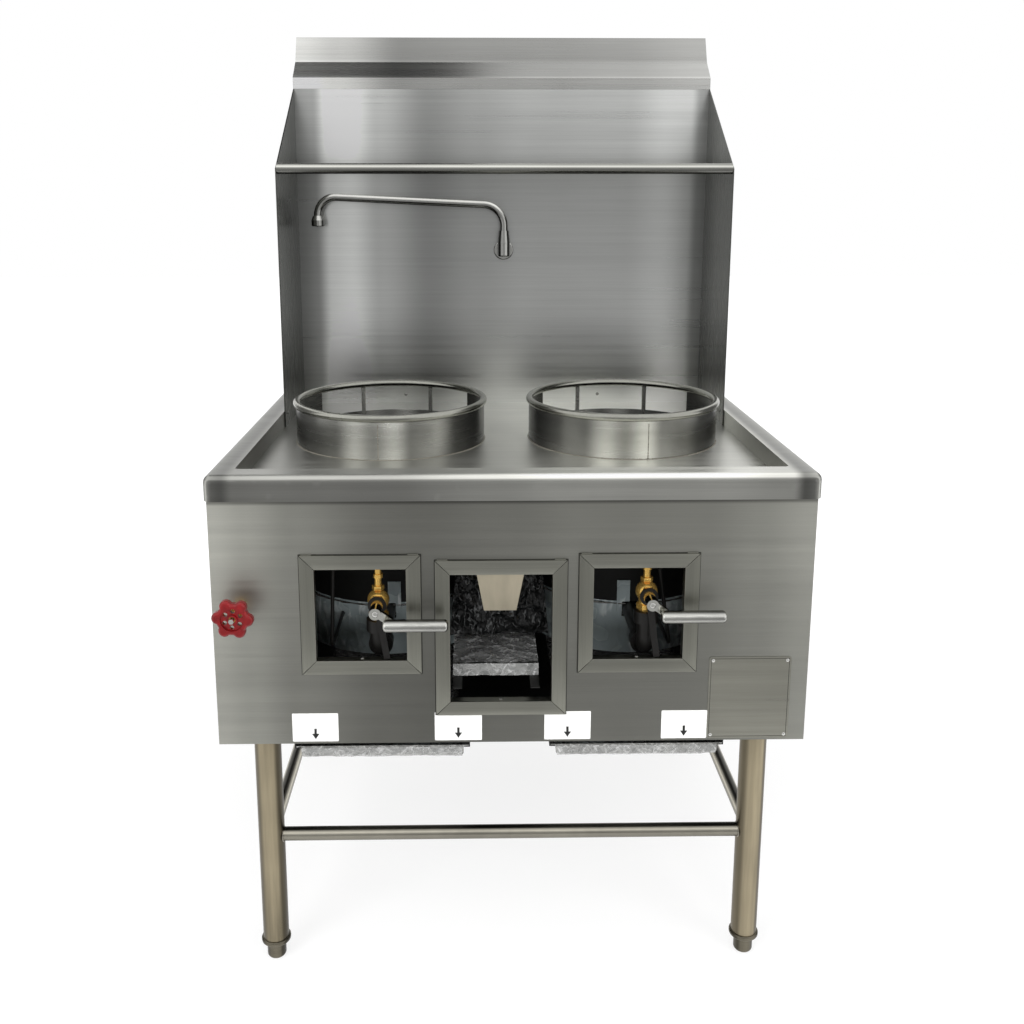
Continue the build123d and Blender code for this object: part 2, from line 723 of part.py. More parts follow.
# ---- knee levers: a hub on the valve stem and a round bar carried beside it ----
for name, side in sides:
    axis_x = side * valve_x
    axis_z = valve_z[name]
    hub_front_y = nose_y + hub_front
    lug_front_y = nose_y + lug_front
    bar_y = nose_y + bar_depth
    bar_z = axis_z - bar_drop
    stub_x = axis_x + bar_start + bar_radius
    with BuildPart() as lever_hub:
        lengthwise(axis_x, axis_z, hub_front_y, nose_y + hub_back, hub_radius)
        lengthwise(axis_x, axis_z, nose_y + hub_back, nose_y + bonnet_front + stem_inside, stem_radius)
        with BuildSketch(Plane.XZ.offset(-lug_front_y)):
            with BuildLine():
                Line((axis_x, axis_z), (stub_x, bar_z))
            trace(line_width=lug_width)
            with Locations((stub_x, bar_z)):
                Circle(lug_width / 2)
        extrude(amount=-lug_wall)
        lengthwise(axis_x, axis_z, hub_front_y, hub_front_y + hub_recess, hub_radius / 2, Mode.SUBTRACT)
    lever_hub.part.label = f"{name}_lever_hub"
    export_step(lever_hub.part, f"parts/{name}_lever_hub.step")

    with BuildPart() as lever_bar:
        crosswise(bar_y, bar_z, axis_x + bar_start, axis_x + bar_start + bar_length, bar_radius)
        fillet(lever_bar.edges().filter_by(GeomType.CIRCLE), bar_end_round)
        lengthwise(stub_x, bar_z, bar_y, lug_front_y, stub_radius)
    lever_bar.part.label = f"{name}_lever_bar"
    export_step(lever_bar.part, f"parts/{name}_lever_bar.step")

# ---- pilot tubes: from the back of the manifold down and through the skirts ----
with BuildPart() as pilot_lines:
    for (name, side), shift, low_x in zip(sides, pilot_top_shift, pilot_low_x):
        top_x = side * (valve_x + shift)
        drop_y = nose_y + pilot_depth
        pilot_route = ((top_x, manifold_y + manifold_radius, manifold_z), (top_x, drop_y, manifold_z),
                       (low_x, drop_y, pilot_z), (low_x, nose_y + pilot_end_depth, pilot_z))
        pilot_tube = bent_tube(pilot_route, pilot_bend, pilot_radius, pilot_radius / 2)
        add(pilot_tube.part)
pilot_lines.part.label = "pilot_lines"
export_step(pilot_lines.part, "parts/pilot_lines.step")

# ---- valve straps: a washer on each bonnet with a leg down to the window's sleeve ----
strap_front_y = nose_y + strap_depth
with BuildPart() as valve_straps:
    for name, side in sides:
        strap_x = side * valve_x
        sleeve_z = rim_height - window_low[name]
        with BuildSketch(Plane.XZ.offset(-strap_front_y)):
            with BuildLine():
                Line((strap_x, valve_z[name]), (strap_x + strap_foot, sleeve_z + strap_wall / 2))
            trace(line_width=strap_width)
            with Locations((strap_x, valve_z[name])):
                Circle(strap_foot)
                Circle(bonnet_radius, mode=Mode.SUBTRACT)
            with Locations((strap_x + strap_foot, sleeve_z - strap_width)):
                Rectangle(4 * strap_foot, 2 * strap_width, mode=Mode.SUBTRACT)
        extrude(amount=-strap_wall)
valve_straps.part.label = "valve_straps"
export_step(valve_straps.part, "parts/valve_straps.step")

# ---- water valve, behind the front panel, with its bonnet through the panel ----
water_z = rim_height - water_level
water_back_y = nose_y + water_body_back
water_middle_y = nose_y + (water_body_front + water_body_back) / 2
with BuildPart() as water_valve:
    lengthwise(water_x, water_z, nose_y + water_body_front, water_back_y, water_body_radius)
    lengthwise(water_x, water_z, nose_y + water_bonnet_front, nose_y + water_body_front,
               water_bonnet_radius)
    upright(water_x, water_middle_y, water_z, water_z + 2 * water_body_radius,
            riser_pipe_radius + running_gap)
    lengthwise(water_x, water_z, nose_y + water_bonnet_front, nose_y + water_body_front,
               wheel_stem_radius + running_gap, Mode.SUBTRACT)
water_valve.part.label = "water_valve"
export_step(water_valve.part, "parts/water_valve.step")

# ---- handwheel: a lobed rim with a dished, slotted web, its stem and its nut ----
wheel_front_y = nose_y + wheel_depth - wheel_wall / 2
wheel_back_y = wheel_front_y + wheel_wall
with BuildPart() as handwheel:
    with BuildSketch(Plane.XZ.offset(-wheel_back_y)) as wheel_outline:
        with Locations((water_x, water_z)):
            Circle(wheel_web_radius)
            with PolarLocations(wheel_reach - wheel_lobe_radius, wheel_lobes, start_angle=wheel_turn):
                Circle(wheel_lobe_radius)
        fillet(wheel_outline.vertices(), wheel_notch)
    extrude(amount=wheel_wall)
    wheel_rims = handwheel.edges().filter_by(Axis.Y, reverse=True).group_by(Axis.Y)
    fillet(wheel_rims[0] + wheel_rims[-1], wheel_edge)
    for dish_front_y in (wheel_front_y, wheel_back_y - wheel_dish):
        lengthwise(water_x, water_z, dish_front_y, dish_front_y + wheel_dish, wheel_dish_radius,
                   Mode.SUBTRACT)
    lengthwise(water_x, water_z, wheel_front_y + seat_gap, wheel_back_y, wheel_hub_radius)
    with BuildSketch(Plane.XZ.offset(-wheel_back_y)):
        with Locations((water_x, water_z)):
            slot_turn = wheel_turn + 180 / wheel_lobes
            with PolarLocations(wheel_slot_circle, wheel_lobes, start_angle=slot_turn):
                Circle(wheel_slot_radius)
    extrude(amount=wheel_wall, mode=Mode.SUBTRACT)
    lengthwise(water_x, water_z, wheel_front_y, wheel_back_y, wheel_stem_radius, Mode.SUBTRACT)
handwheel.part.label = "handwheel"
export_step(handwheel.part, "parts/handwheel.step")

with BuildPart() as handwheel_stem:
    lengthwise(water_x, water_z, wheel_front_y + wheel_dish, nose_y + water_body_front - seat_gap,
               wheel_stem_radius)
handwheel_stem.part.label = "handwheel_stem"
export_step(handwheel_stem.part, "parts/handwheel_stem.step")

with BuildPart() as handwheel_nut:
    with BuildSketch(Plane.XZ.offset(-wheel_front_y - wheel_dish)):
        with Locations((water_x, water_z)):
            RegularPolygon(wheel_nut_radius, 6)
    extrude(amount=wheel_front_y + wheel_dish - nose_y + front_reach)
handwheel_nut.part.label = "handwheel_nut"
export_step(handwheel_nut.part, "parts/handwheel_nut.step")

# ---- water pipes: the supply straight in from the back, and the riser up to the spout ----
riser_low_z = water_z + 2 * water_body_radius
riser_turn_z = rim_height - riser_pipe_level
riser_y = splash_y + riser_pipe_gap
riser_pipe_x = riser_pipe_side_gap - width / 2
spout_z = rim_height + spout_level
riser_route = ((water_x, water_middle_y, riser_low_z), (water_x, water_middle_y, riser_turn_z),
               (water_x, riser_y, riser_turn_z), (riser_pipe_x, riser_y, riser_turn_z),
               (riser_pipe_x, riser_y, spout_z), (spout_x, riser_y, spout_z),
               (spout_x, splash_y + sheet, spout_z))
riser_bends = (riser_pipe_bend, riser_pipe_bend / 2, riser_pipe_bend / 2, riser_pipe_bend,
               riser_pipe_bend)
riser_tube = bent_tube(riser_route, riser_bends, riser_pipe_radius, riser_pipe_wall)
with BuildPart() as water_pipes:
    add(riser_tube.part)
    lengthwise(water_x, water_z, water_back_y, neck_y, water_pipe_radius)
    lengthwise(water_x, water_z, neck_y, thread_y, water_pipe_radius - neck_cut)
    lengthwise(water_x, water_z, thread_y, back_y, water_pipe_radius - thread_cut)
    lengthwise(water_x, water_z, water_back_y, back_y, water_pipe_radius - water_pipe_wall, Mode.SUBTRACT)
water_pipes.part.label = "water_pipes"
export_step(water_pipes.part, "parts/water_pipes.step")

# ---- swing spout: the fixed flange and post, the swivel collar, the tube and its nozzle ----
post_y = splash_y - spout_stand_off
with BuildPart() as spout_flange:
    lengthwise(spout_x, spout_z, splash_y - flange_wall, splash_y, flange_radius)
    fillet(spout_flange.edges().group_by(Axis.Y)[0], flange_wall / 2)
    lengthwise(spout_x, spout_z, post_y, splash_y - flange_wall, spout_stub_radius)
    upright(spout_x, post_y, rim_height + boss_low, rim_height + boss_high, boss_radius)
    fillet(spout_flange.edges().group_by(Axis.Z)[0], boss_radius / 4)
    upright(spout_x, post_y, rim_height + boss_high, rim_height + spout_post_top, spout_post_radius)
spout_flange.part.label = "spout_flange"
export_step(spout_flange.part, "parts/spout_flange.step")

collar_low_z = rim_height + boss_high + seat_gap
collar_top_z = rim_height + collar_top
tube_foot_z = rim_height + spout_post_top + hole_gap
with BuildPart() as spout_collar:
    with Locations((spout_x, post_y, collar_low_z)):
        Cone(boss_radius + hole_gap, collar_top_radius, collar_top_z - collar_low_z,
             align=(Align.CENTER, Align.CENTER, Align.MIN))
    upright(spout_x, post_y, collar_low_z, tube_foot_z, spout_post_radius + running_gap, Mode.SUBTRACT)
    upright(spout_x, post_y, tube_foot_z, collar_top_z, spout_tube_radius, Mode.SUBTRACT)
spout_collar.part.label = "spout_collar"
export_step(spout_collar.part, "parts/spout_collar.step")

spout_corner_z = rim_height + spout_corner_level
nozzle_x = sheet + nozzle_shield_gap - guard_x
nozzle_low_z = rim_height + nozzle_low
nozzle_seat_z = nozzle_low_z + nozzle_height / 2
spout_route = ((spout_x, post_y, tube_foot_z), (spout_x, post_y, spout_corner_z),
               (nozzle_x, post_y, spout_corner_z + spout_rise), (nozzle_x, post_y, nozzle_seat_z))
spout_tube = bent_tube(spout_route, (spout_bend_in, spout_bend_out), spout_tube_radius, spout_tube_wall)
spout_tube.part.label = "spout_tube"
export_step(spout_tube.part, "parts/spout_tube.step")

with BuildPart() as spout_nozzle:
    upright(nozzle_x, post_y, nozzle_low_z, nozzle_low_z + nozzle_grip, nozzle_radius)
    with Locations((nozzle_x, post_y, nozzle_low_z + nozzle_grip)):
        Cone(nozzle_radius, collar_top_radius, nozzle_height - nozzle_grip,
             align=(Align.CENTER, Align.CENTER, Align.MIN))
    chamfer(spout_nozzle.edges().group_by(Axis.Z)[0], thin_sheet)
    upright(nozzle_x, post_y, nozzle_seat_z, nozzle_low_z + nozzle_height, spout_tube_radius,
            Mode.SUBTRACT)
    upright(nozzle_x, post_y, nozzle_low_z, nozzle_seat_z - sheet, nozzle_mouth, Mode.SUBTRACT)
    upright(nozzle_x, post_y, nozzle_low_z, nozzle_seat_z, spout_tube_radius - spout_tube_wall,
            Mode.SUBTRACT)
spout_nozzle.part.label = "spout_nozzle"
export_step(spout_nozzle.part, "parts/spout_nozzle.step")

# ---- drip trays: shallow pans that hang by their side flanges and pull out to the front ----
tray_z = cabinet_z - drip_tray_gap
flange_half = tray_half + drip_tray_flange
for name, side in sides:
    with BuildPart() as drip_tray:
        with BuildSketch(Plane.XY.offset(tray_z - drip_tray_height)):
            with Locations((tray_x[name], (tray_front_y + tray_back_y) / 2)):
                Rectangle(drip_tray_width, drip_tray_length)
        extrude(amount=drip_tray_height)
        fillet(drip_tray.edges().group_by(Axis.Z)[0].filter_by(Axis.Y), drip_tray_corner)
        slab(tray_x[name] - tray_half + thin_sheet, tray_x[name] + tray_half - thin_sheet,
             tray_front_y + thin_sheet, tray_back_y - thin_sheet,
             tray_z - drip_tray_height + drip_tray_corner, tray_z, Mode.SUBTRACT)
        slab(tray_x[name] - tray_half + drip_tray_corner, tray_x[name] + tray_half - drip_tray_corner,
             tray_front_y + thin_sheet, tray_back_y - thin_sheet,
             tray_z - drip_tray_height + thin_sheet, tray_z, Mode.SUBTRACT)
        for edge in (-1, 1):
            inner_x = tray_x[name] + edge * (tray_half - thin_sheet)
            outer_x = tray_x[name] + edge * flange_half
            slab(min(inner_x, outer_x), max(inner_x, outer_x), tray_front_y, tray_back_y,
                 tray_z - thin_sheet, tray_z)
    drip_tray.part.label = f"{name}_drip_tray"
    export_step(drip_tray.part, f"parts/{name}_drip_tray.step")

# ---- runners: angles under the base pan, and two rails with a hanger for the scrap tray ----
ledge_top_z = tray_z - thin_sheet - seat_gap
scrap_z = rim_height - scrap_top
scrap_low_z = scrap_z - scrap_height
scrap_rail_z = scrap_low_z - seat_gap
scrap_x = (scrap_x_min + scrap_x_max) / 2
scrap_front_y = nose_y + scrap_front
scrap_back_y = scrap_front_y + scrap_length
hanger_y = nose_y + scrap_hanger_depth
with BuildPart() as tray_runners:
    for name, side in sides:
        for edge in (-1, 1):
            leaf_x = tray_x[name] + edge * (flange_half + hole_gap)
            leaf_outer_x = leaf_x + edge * runner_wall
            ledge_x = tray_x[name] + edge * (tray_half + hole_gap)
            slab(min(leaf_x, leaf_outer_x), max(leaf_x, leaf_outer_x), tray_front_y,
                 back_y - runner_rear_gap, ledge_top_z - runner_wall, cabinet_z)
            slab(min(ledge_x, leaf_outer_x), max(ledge_x, leaf_outer_x), tray_front_y,
                 back_y - runner_rear_gap, ledge_top_z - runner_wall, ledge_top_z)
    for rail_x in (scrap_x_min + hole_gap, scrap_x_max - hole_gap - scrap_rail):
        slab(rail_x, rail_x + scrap_rail, panel_back_y, hanger_y, scrap_rail_z - runner_wall,
             scrap_rail_z)
    slab(scrap_x_min + hole_gap, scrap_x_max - hole_gap, hanger_y - runner_wall, hanger_y,
         scrap_rail_z - scrap_rail, scrap_rail_z)
    slab(scrap_x - scrap_hanger_width / 2, scrap_x + scrap_hanger_width / 2, hanger_y, hanger_y + sheet,
         scrap_rail_z - scrap_rail, deck_under_z)
tray_runners.part.label = "tray_runners"
export_step(tray_runners.part, "parts/tray_runners.step")

# ---- scrap tray, under the drain chute ----
with BuildPart() as scrap_tray:
    slab(scrap_x_min, scrap_x_max, scrap_front_y, scrap_back_y, scrap_low_z, scrap_z)
    slab(scrap_x_min + thin_sheet, scrap_x_max - thin_sheet, scrap_front_y + thin_sheet,
         scrap_back_y - thin_sheet, scrap_low_z + thin_sheet, scrap_z, Mode.SUBTRACT)
scrap_tray.part.label = "scrap_tray"
export_step(scrap_tray.part, "parts/scrap_tray.step")

# ---- drain chute: a square duct under the deck that narrows at its foot ----
chute_y = nose_y + chute_front + chute_length / 2
straight_z = rim_height - chute_straight
mouth_z = rim_height - chute_bottom
with BuildPart() as drain_chute:
    for inset in (0.0, thin_sheet):
        chute_mode = Mode.SUBTRACT if inset else Mode.ADD
        slab(chute_x - chute_width / 2 + inset, chute_x + chute_width / 2 - inset,
             chute_y - chute_length / 2 + inset, chute_y + chute_length / 2 - inset,
             straight_z, deck_under_z, chute_mode)
        with BuildSketch(Plane.XY.offset(straight_z)):
            with Locations((chute_x, chute_y)):
                Rectangle(chute_width - 2 * inset, chute_length - 2 * inset)
        with BuildSketch(Plane.XY.offset(mouth_z)):
            with Locations((chute_x, chute_y)):
                Rectangle(chute_mouth_width - 2 * inset, chute_mouth_length - 2 * inset)
        loft(mode=chute_mode)
drain_chute.part.label = "drain_chute"
export_step(drain_chute.part, "parts/drain_chute.step")

# ---- drain strainer: a perforated cover with a turned-down edge that lifts out ----
cover_z = deck_z + seat_gap
with BuildPart() as drain_strainer:
    slab(drain_x_min - strainer_lip, drain_x_max + strainer_lip, drain_y_min - strainer_lip,
         drain_y_max + strainer_lip, cover_z, cover_z + thin_sheet)
    slab(drain_x_min + hole_gap, drain_x_max - hole_gap, drain_y_min + hole_gap, drain_y_max - hole_gap,
         cover_z - strainer_drop, cover_z)
    slab(drain_x_min + hole_gap + thin_sheet, drain_x_max - hole_gap - thin_sheet,
         drain_y_min + hole_gap + thin_sheet, drain_y_max - hole_gap - thin_sheet,
         cover_z - strainer_drop, cover_z, Mode.SUBTRACT)
    with Locations((chute_x, chute_y, cover_z + thin_sheet)):
        with GridLocations(strainer_pitch, strainer_pitch, strainer_rows, strainer_rows):
            Hole(strainer_hole, thin_sheet)
drain_strainer.part.label = "drain_strainer"
export_step(drain_strainer.part, "parts/drain_strainer.step")

# ---- legs: four tubes, their foot inserts, the screw feet and the stretchers between them ----
insert_low_z = foot_height + seat_gap
leg_low_z = insert_low_z + insert_rim_height
leg_rows = (("front", nose_y + leg_front_gap), ("rear", back_y - leg_rear_gap))
leg_places = tuple((name, end, side * leg_x, leg_y) for name, side in sides for end, leg_y in leg_rows)
with BuildPart() as legs:
    for name, end, leg_post_x, leg_y in leg_places:
        upright(leg_post_x, leg_y, leg_low_z, cabinet_z, leg_radius)
        upright(leg_post_x, leg_y, leg_low_z, cabinet_z, leg_radius - leg_wall, Mode.SUBTRACT)
legs.part.label = "legs"
export_step(legs.part, "parts/legs.step")

with BuildPart() as leg_inserts:
    for name, end, leg_post_x, leg_y in leg_places:
        upright(leg_post_x, leg_y, insert_low_z, leg_low_z, insert_rim_radius)
    fillet(leg_inserts.edges().filter_by(GeomType.CIRCLE), insert_rim_round)
    for name, end, leg_post_x, leg_y in leg_places:
        upright(leg_post_x, leg_y, leg_low_z, leg_low_z + insert_plug, leg_radius - leg_wall)
        upright(leg_post_x, leg_y, insert_low_z, leg_low_z + insert_plug, insert_bore, Mode.SUBTRACT)
leg_inserts.part.label = "leg_inserts"
export_step(leg_inserts.part, "parts/leg_inserts.step")

for name, end, leg_post_x, leg_y in leg_places:
    with BuildPart() as foot:
        upright(leg_post_x, leg_y, 0.0, foot_height, foot_radius)
        fillet(foot.edges().group_by(Axis.Z)[0], foot_radius - foot_flat)
        upright(leg_post_x, leg_y, foot_height, foot_height + foot_stem_height, foot_stem_radius)
    foot.part.label = f"{end}_{name}_foot"
    export_step(foot.part, f"parts/{end}_{name}_foot.step")

with BuildPart() as leg_stretchers:
    for end, leg_y in leg_rows:
        crosswise(leg_y, stretcher_height, -leg_x, leg_x, stretcher_radius)
    for name, side in sides:
        lengthwise(side * leg_x, stretcher_height, leg_rows[0][1], leg_rows[1][1], stretcher_radius)
    for name, end, leg_post_x, leg_y in leg_places:
        upright(leg_post_x, leg_y, stretcher_height - leg_radius, stretcher_height + leg_radius,
                leg_radius + stretcher_cope, Mode.SUBTRACT)
leg_stretchers.part.label = "leg_stretchers"
export_step(leg_stretchers.part, "parts/leg_stretchers.step")

# ---- rating plate, bare, and the small fasteners that show ----
plate_x_min = right_window_x + side_window_width / 2 + window_bar + plate_window_gap
plate_x_max = width / 2 - plate_side_gap
plate_middle_x = (plate_x_min + plate_x_max) / 2
plate_middle_z = cabinet_z + plate_low_gap + plate_height / 2
plate_width = plate_x_max - plate_x_min
with BuildPart() as rating_plate:
    with BuildSketch(Plane.XZ.offset(-panel_y)):
        with Locations((plate_middle_x, plate_middle_z)):
            RectangleRounded(plate_width, plate_height, plate_corner)
    extrude(amount=plate_wall)
rating_plate.part.label = "rating_plate"
export_step(rating_plate.part, "parts/rating_plate.step")

plate_face_y = panel_y - plate_wall
with BuildPart() as panel_fasteners:
    for column in (-1, 1):
        for row in (-1, 1):
            lengthwise(plate_middle_x + column * (plate_width / 2 - rivet_inset),
                       plate_middle_z + row * (plate_height / 2 - rivet_inset),
                       plate_face_y - rivet_height, plate_face_y, rivet_radius)
    for name in window_names:
        window_floor_z = window_z[name] - window_height[name] / 2
        upright(window_x[name], panel_y + window_sleeve / 2, window_floor_z,
                window_floor_z + screw_height, screw_radius)
    for name, side in sides:
        lengthwise(side * (guard_x - splash_screw_inset), rim_height + splash_screw_level,
                   splash_y - screw_height, splash_y, screw_radius)
        bolt_x = (side * (guard_x - sheet), side * (guard_x - sheet - screw_height))
        crosswise(shield_front_y + shield_bolt_inset, rim_height + shield_bolt_level,
                  min(bolt_x), max(bolt_x), screw_radius)
panel_fasteners.part.label = "panel_fasteners"
export_step(panel_fasteners.part, "parts/panel_fasteners.step")
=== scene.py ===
import math
import bmesh
import bpy
from mathutils import Matrix, Vector, noise


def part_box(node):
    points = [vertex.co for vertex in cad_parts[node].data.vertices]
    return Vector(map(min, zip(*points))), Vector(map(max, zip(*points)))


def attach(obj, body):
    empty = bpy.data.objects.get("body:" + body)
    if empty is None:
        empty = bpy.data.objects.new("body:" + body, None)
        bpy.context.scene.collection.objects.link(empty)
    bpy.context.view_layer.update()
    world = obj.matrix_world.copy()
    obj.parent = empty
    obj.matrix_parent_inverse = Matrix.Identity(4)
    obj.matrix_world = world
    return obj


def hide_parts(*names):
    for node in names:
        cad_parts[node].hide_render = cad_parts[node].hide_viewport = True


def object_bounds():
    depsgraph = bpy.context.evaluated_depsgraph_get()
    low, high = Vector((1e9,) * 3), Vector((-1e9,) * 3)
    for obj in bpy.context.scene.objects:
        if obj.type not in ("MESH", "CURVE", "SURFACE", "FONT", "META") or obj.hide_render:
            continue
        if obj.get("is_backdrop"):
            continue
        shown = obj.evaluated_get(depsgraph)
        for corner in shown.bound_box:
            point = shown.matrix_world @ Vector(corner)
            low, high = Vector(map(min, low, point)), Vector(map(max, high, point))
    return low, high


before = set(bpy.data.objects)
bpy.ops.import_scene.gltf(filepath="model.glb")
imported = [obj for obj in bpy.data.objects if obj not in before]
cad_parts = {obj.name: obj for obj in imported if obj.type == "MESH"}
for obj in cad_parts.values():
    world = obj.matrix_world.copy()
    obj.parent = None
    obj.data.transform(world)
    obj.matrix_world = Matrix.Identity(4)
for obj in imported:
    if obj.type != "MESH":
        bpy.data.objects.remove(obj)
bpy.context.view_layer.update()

# ---- Legs, stretchers and feet ----
# Four 42 mm stainless tubes welded to plates under the cabinet, tied by coped 22 mm tubes, with a
# pressed-in insert and a screw foot in each. The tube is dull, warm and slightly heat-tinted.


def srgb(red, green, blue):
    """A colour given as 0 to 255, as the shader's linear colour."""
    return tuple(((part / 255 + 0.055) / 1.055) ** 2.4 for part in (red, green, blue)) + (1.0,)


def node_in(tree, kind, inputs=None, **settings):
    """A new node with its settings, and its inputs by name or number, each a value or a socket."""
    made = tree.nodes.new(kind)
    for name, value in settings.items():
        setattr(made, name, value)
    for name, value in (inputs or {}).items():
        if isinstance(value, bpy.types.NodeSocket):
            tree.links.new(value, made.inputs[name])
        else:
            made.inputs[name].default_value = value
    return made


def out_of(tree, kind, inputs, **settings):
    """What a new node gives at its first output."""
    return node_in(tree, kind, inputs, **settings).outputs[0]


def math_of(tree, operation, first, second=0.0, third=0.0):
    """The result of one sum on values or sockets."""
    return out_of(tree, "ShaderNodeMath", {0: first, 1: second, 2: third}, operation=operation)


def noise_of(tree, place, scale, detail, **more):
    """The value of a soft noise at a place."""
    return out_of(tree, "ShaderNodeTexNoise", {"Vector": place, "Scale": scale, "Detail": detail, **more})


def scaled(tree, vector, level):
    """A colour or a place made larger or smaller."""
    return out_of(tree, "ShaderNodeVectorMath", {0: vector, "Scale": level}, operation="SCALE")


def blend(tree, share, first, second):
    """A mix of two colours."""
    mix = node_in(tree, "ShaderNodeMix", {0: share, 6: first, 7: second}, data_type="RGBA")
    return mix.outputs[2]


def tree_with(name, kind, inputs, outputs=(("Geometry", "Geometry"),)):
    """An empty node tree with its named sockets: (tree, its inputs, its output node)."""
    tree = bpy.data.node_groups.new(name, kind + "NodeTree")
    for socket, data, *value in inputs:
        made = tree.interface.new_socket(name=socket, in_out="INPUT", socket_type="NodeSocket" + data)
        if value:
            made.default_value = value[0]
    for socket, data in outputs:
        tree.interface.new_socket(name=socket, in_out="OUTPUT", socket_type="NodeSocket" + data)
    return tree, tree.nodes.new("NodeGroupInput").outputs, tree.nodes.new("NodeGroupOutput")


def new_finish(name, looks):
    """A new material: (itself, its tree, its shader, the object's own coordinates)."""
    made = bpy.data.materials.new(name)
    made.use_nodes = True
    tree = made.node_tree
    shader = tree.nodes["Principled BSDF"]
    for look, value in looks.items():
        shader.inputs[look].default_value = value
    return made, tree, shader, node_in(tree, "ShaderNodeTexCoord").outputs["Object"]


def settle(tree, shader, colour, rough, height, relief, depth):
    """The shader's colour, roughness and fine relief."""
    bump = out_of(tree, "ShaderNodeBump", {"Height": height, "Strength": relief, "Distance": depth})
    tree.links.new(colour, shader.inputs["Base Color"])
    tree.links.new(rough, shader.inputs["Roughness"])
    tree.links.new(bump, shader.inputs["Normal"])


def make_brushed_group():
    """Rolled and brushed sheet: fine scratches one way, wider streaks and soft clouding."""
    tree, given, leave = tree_with(
        "brushed metal", "Shader",
        (("Coordinates", "Vector"), ("Grain", "Vector"), ("Tone", "Color"), ("Shade", "Float"),
         ("Streaks", "Float"), ("Clouding", "Float"), ("Finish", "Float")),
        (("Color", "Color"), ("Roughness", "Float"), ("Height", "Float")))
    drawn = out_of(tree, "ShaderNodeVectorMath", {0: given["Coordinates"], 1: given["Grain"]},
                   operation="MULTIPLY")
    fine = noise_of(tree, drawn, 1.0, 3.0)
    streak = noise_of(tree, scaled(tree, drawn, 0.11), 1.0, 2.0)
    cloud = noise_of(tree, given["Coordinates"], 4.5, 2.5)
    both = math_of(tree, "ADD", fine, streak)
    lined = math_of(tree, "MULTIPLY", math_of(tree, "SUBTRACT", both, 1.0), given["Streaks"])
    soft = math_of(tree, "MULTIPLY", math_of(tree, "SUBTRACT", cloud, 0.5), given["Clouding"])
    level = math_of(tree, "MULTIPLY_ADD", soft, 2.0, math_of(tree, "ADD", lined, 1.0))
    level = math_of(tree, "MULTIPLY", level, given["Shade"])
    uneven = math_of(tree, "MULTIPLY_ADD", streak, 0.5, 0.75)
    rough = math_of(tree, "MULTIPLY", given["Finish"], uneven)
    rough = math_of(tree, "MULTIPLY_ADD", soft, 0.5, rough)
    tree.links.new(scaled(tree, given["Tone"], level), leave.inputs["Color"])
    tree.links.new(rough, leave.inputs["Roughness"])
    tree.links.new(fine, leave.inputs["Height"])
    return tree


brushed_group = make_brushed_group()
brightest = 4.0


def sheen(tree, place, axis, bands):
    """The painted reflection and shade along one axis of a place or a normal, from a run of (value,
    brightness).
    """
    first, last = bands[0][0], bands[-1][0]
    split = node_in(tree, "ShaderNodeSeparateXYZ", {0: place})
    span = out_of(tree, "ShaderNodeMapRange",
                  {"Value": split.outputs[axis], "From Min": first, "From Max": last})
    ramp = node_in(tree, "ShaderNodeValToRGB", {0: span})
    ramp.color_ramp.interpolation = "EASE"
    while len(ramp.color_ramp.elements) < len(bands):
        ramp.color_ramp.elements.new(0.5)
    for stop, (spot, level) in zip(ramp.color_ramp.elements, bands):
        stop.position = (spot - first) / (last - first)
        stop.color = (level / brightest, level / brightest, level / brightest, 1.0)
    return math_of(tree, "MULTIPLY", ramp.outputs[0], brightest)


def brushed(name, tone, finish, grain, streaks=0.25, clouding=0.12, relief=0.06, **bands):
    """A brushed metal. grain is how fine its lines are along X, Y and Z, in lines a metre.
    bands are painted reflections and shade: soft bands of brightness painted into its colour along X
    and Z (across, upward), or as it turns to face along an axis (facing_x and so on)."""
    made, tree, shader, place = new_finish(name, {"Metallic": 1.0})
    look = node_in(tree, "ShaderNodeGroup", node_tree=brushed_group,
                   inputs={"Coordinates": place, "Grain": grain, "Tone": tone, "Shade": 1.0,
                           "Streaks": streaks, "Clouding": clouding, "Finish": finish})
    facing = node_in(tree, "ShaderNodeTexCoord").outputs["Normal"]
    sources = {"across": (place, "X"), "upward": (place, "Z"), "facing_x": (facing, "X"),
               "facing_y": (facing, "Y"), "facing_z": (facing, "Z")}
    for kind, run in bands.items():
        level = sheen(tree, *sources[kind], run)
        if look.inputs["Shade"].is_linked:
            level = math_of(tree, "MULTIPLY", level, look.inputs["Shade"].links[0].from_socket)
        tree.links.new(level, look.inputs["Shade"])
    settle(tree, shader, look.outputs["Color"], look.outputs["Roughness"], look.outputs["Height"], relief,
           0.0006)
    return made


def dress(finish, *nodes):
    """The finish of some CAD nodes, set in each node's own slots."""
    for node in nodes:
        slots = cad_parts[node].data.materials
        slots.clear()
        slots.append(finish)


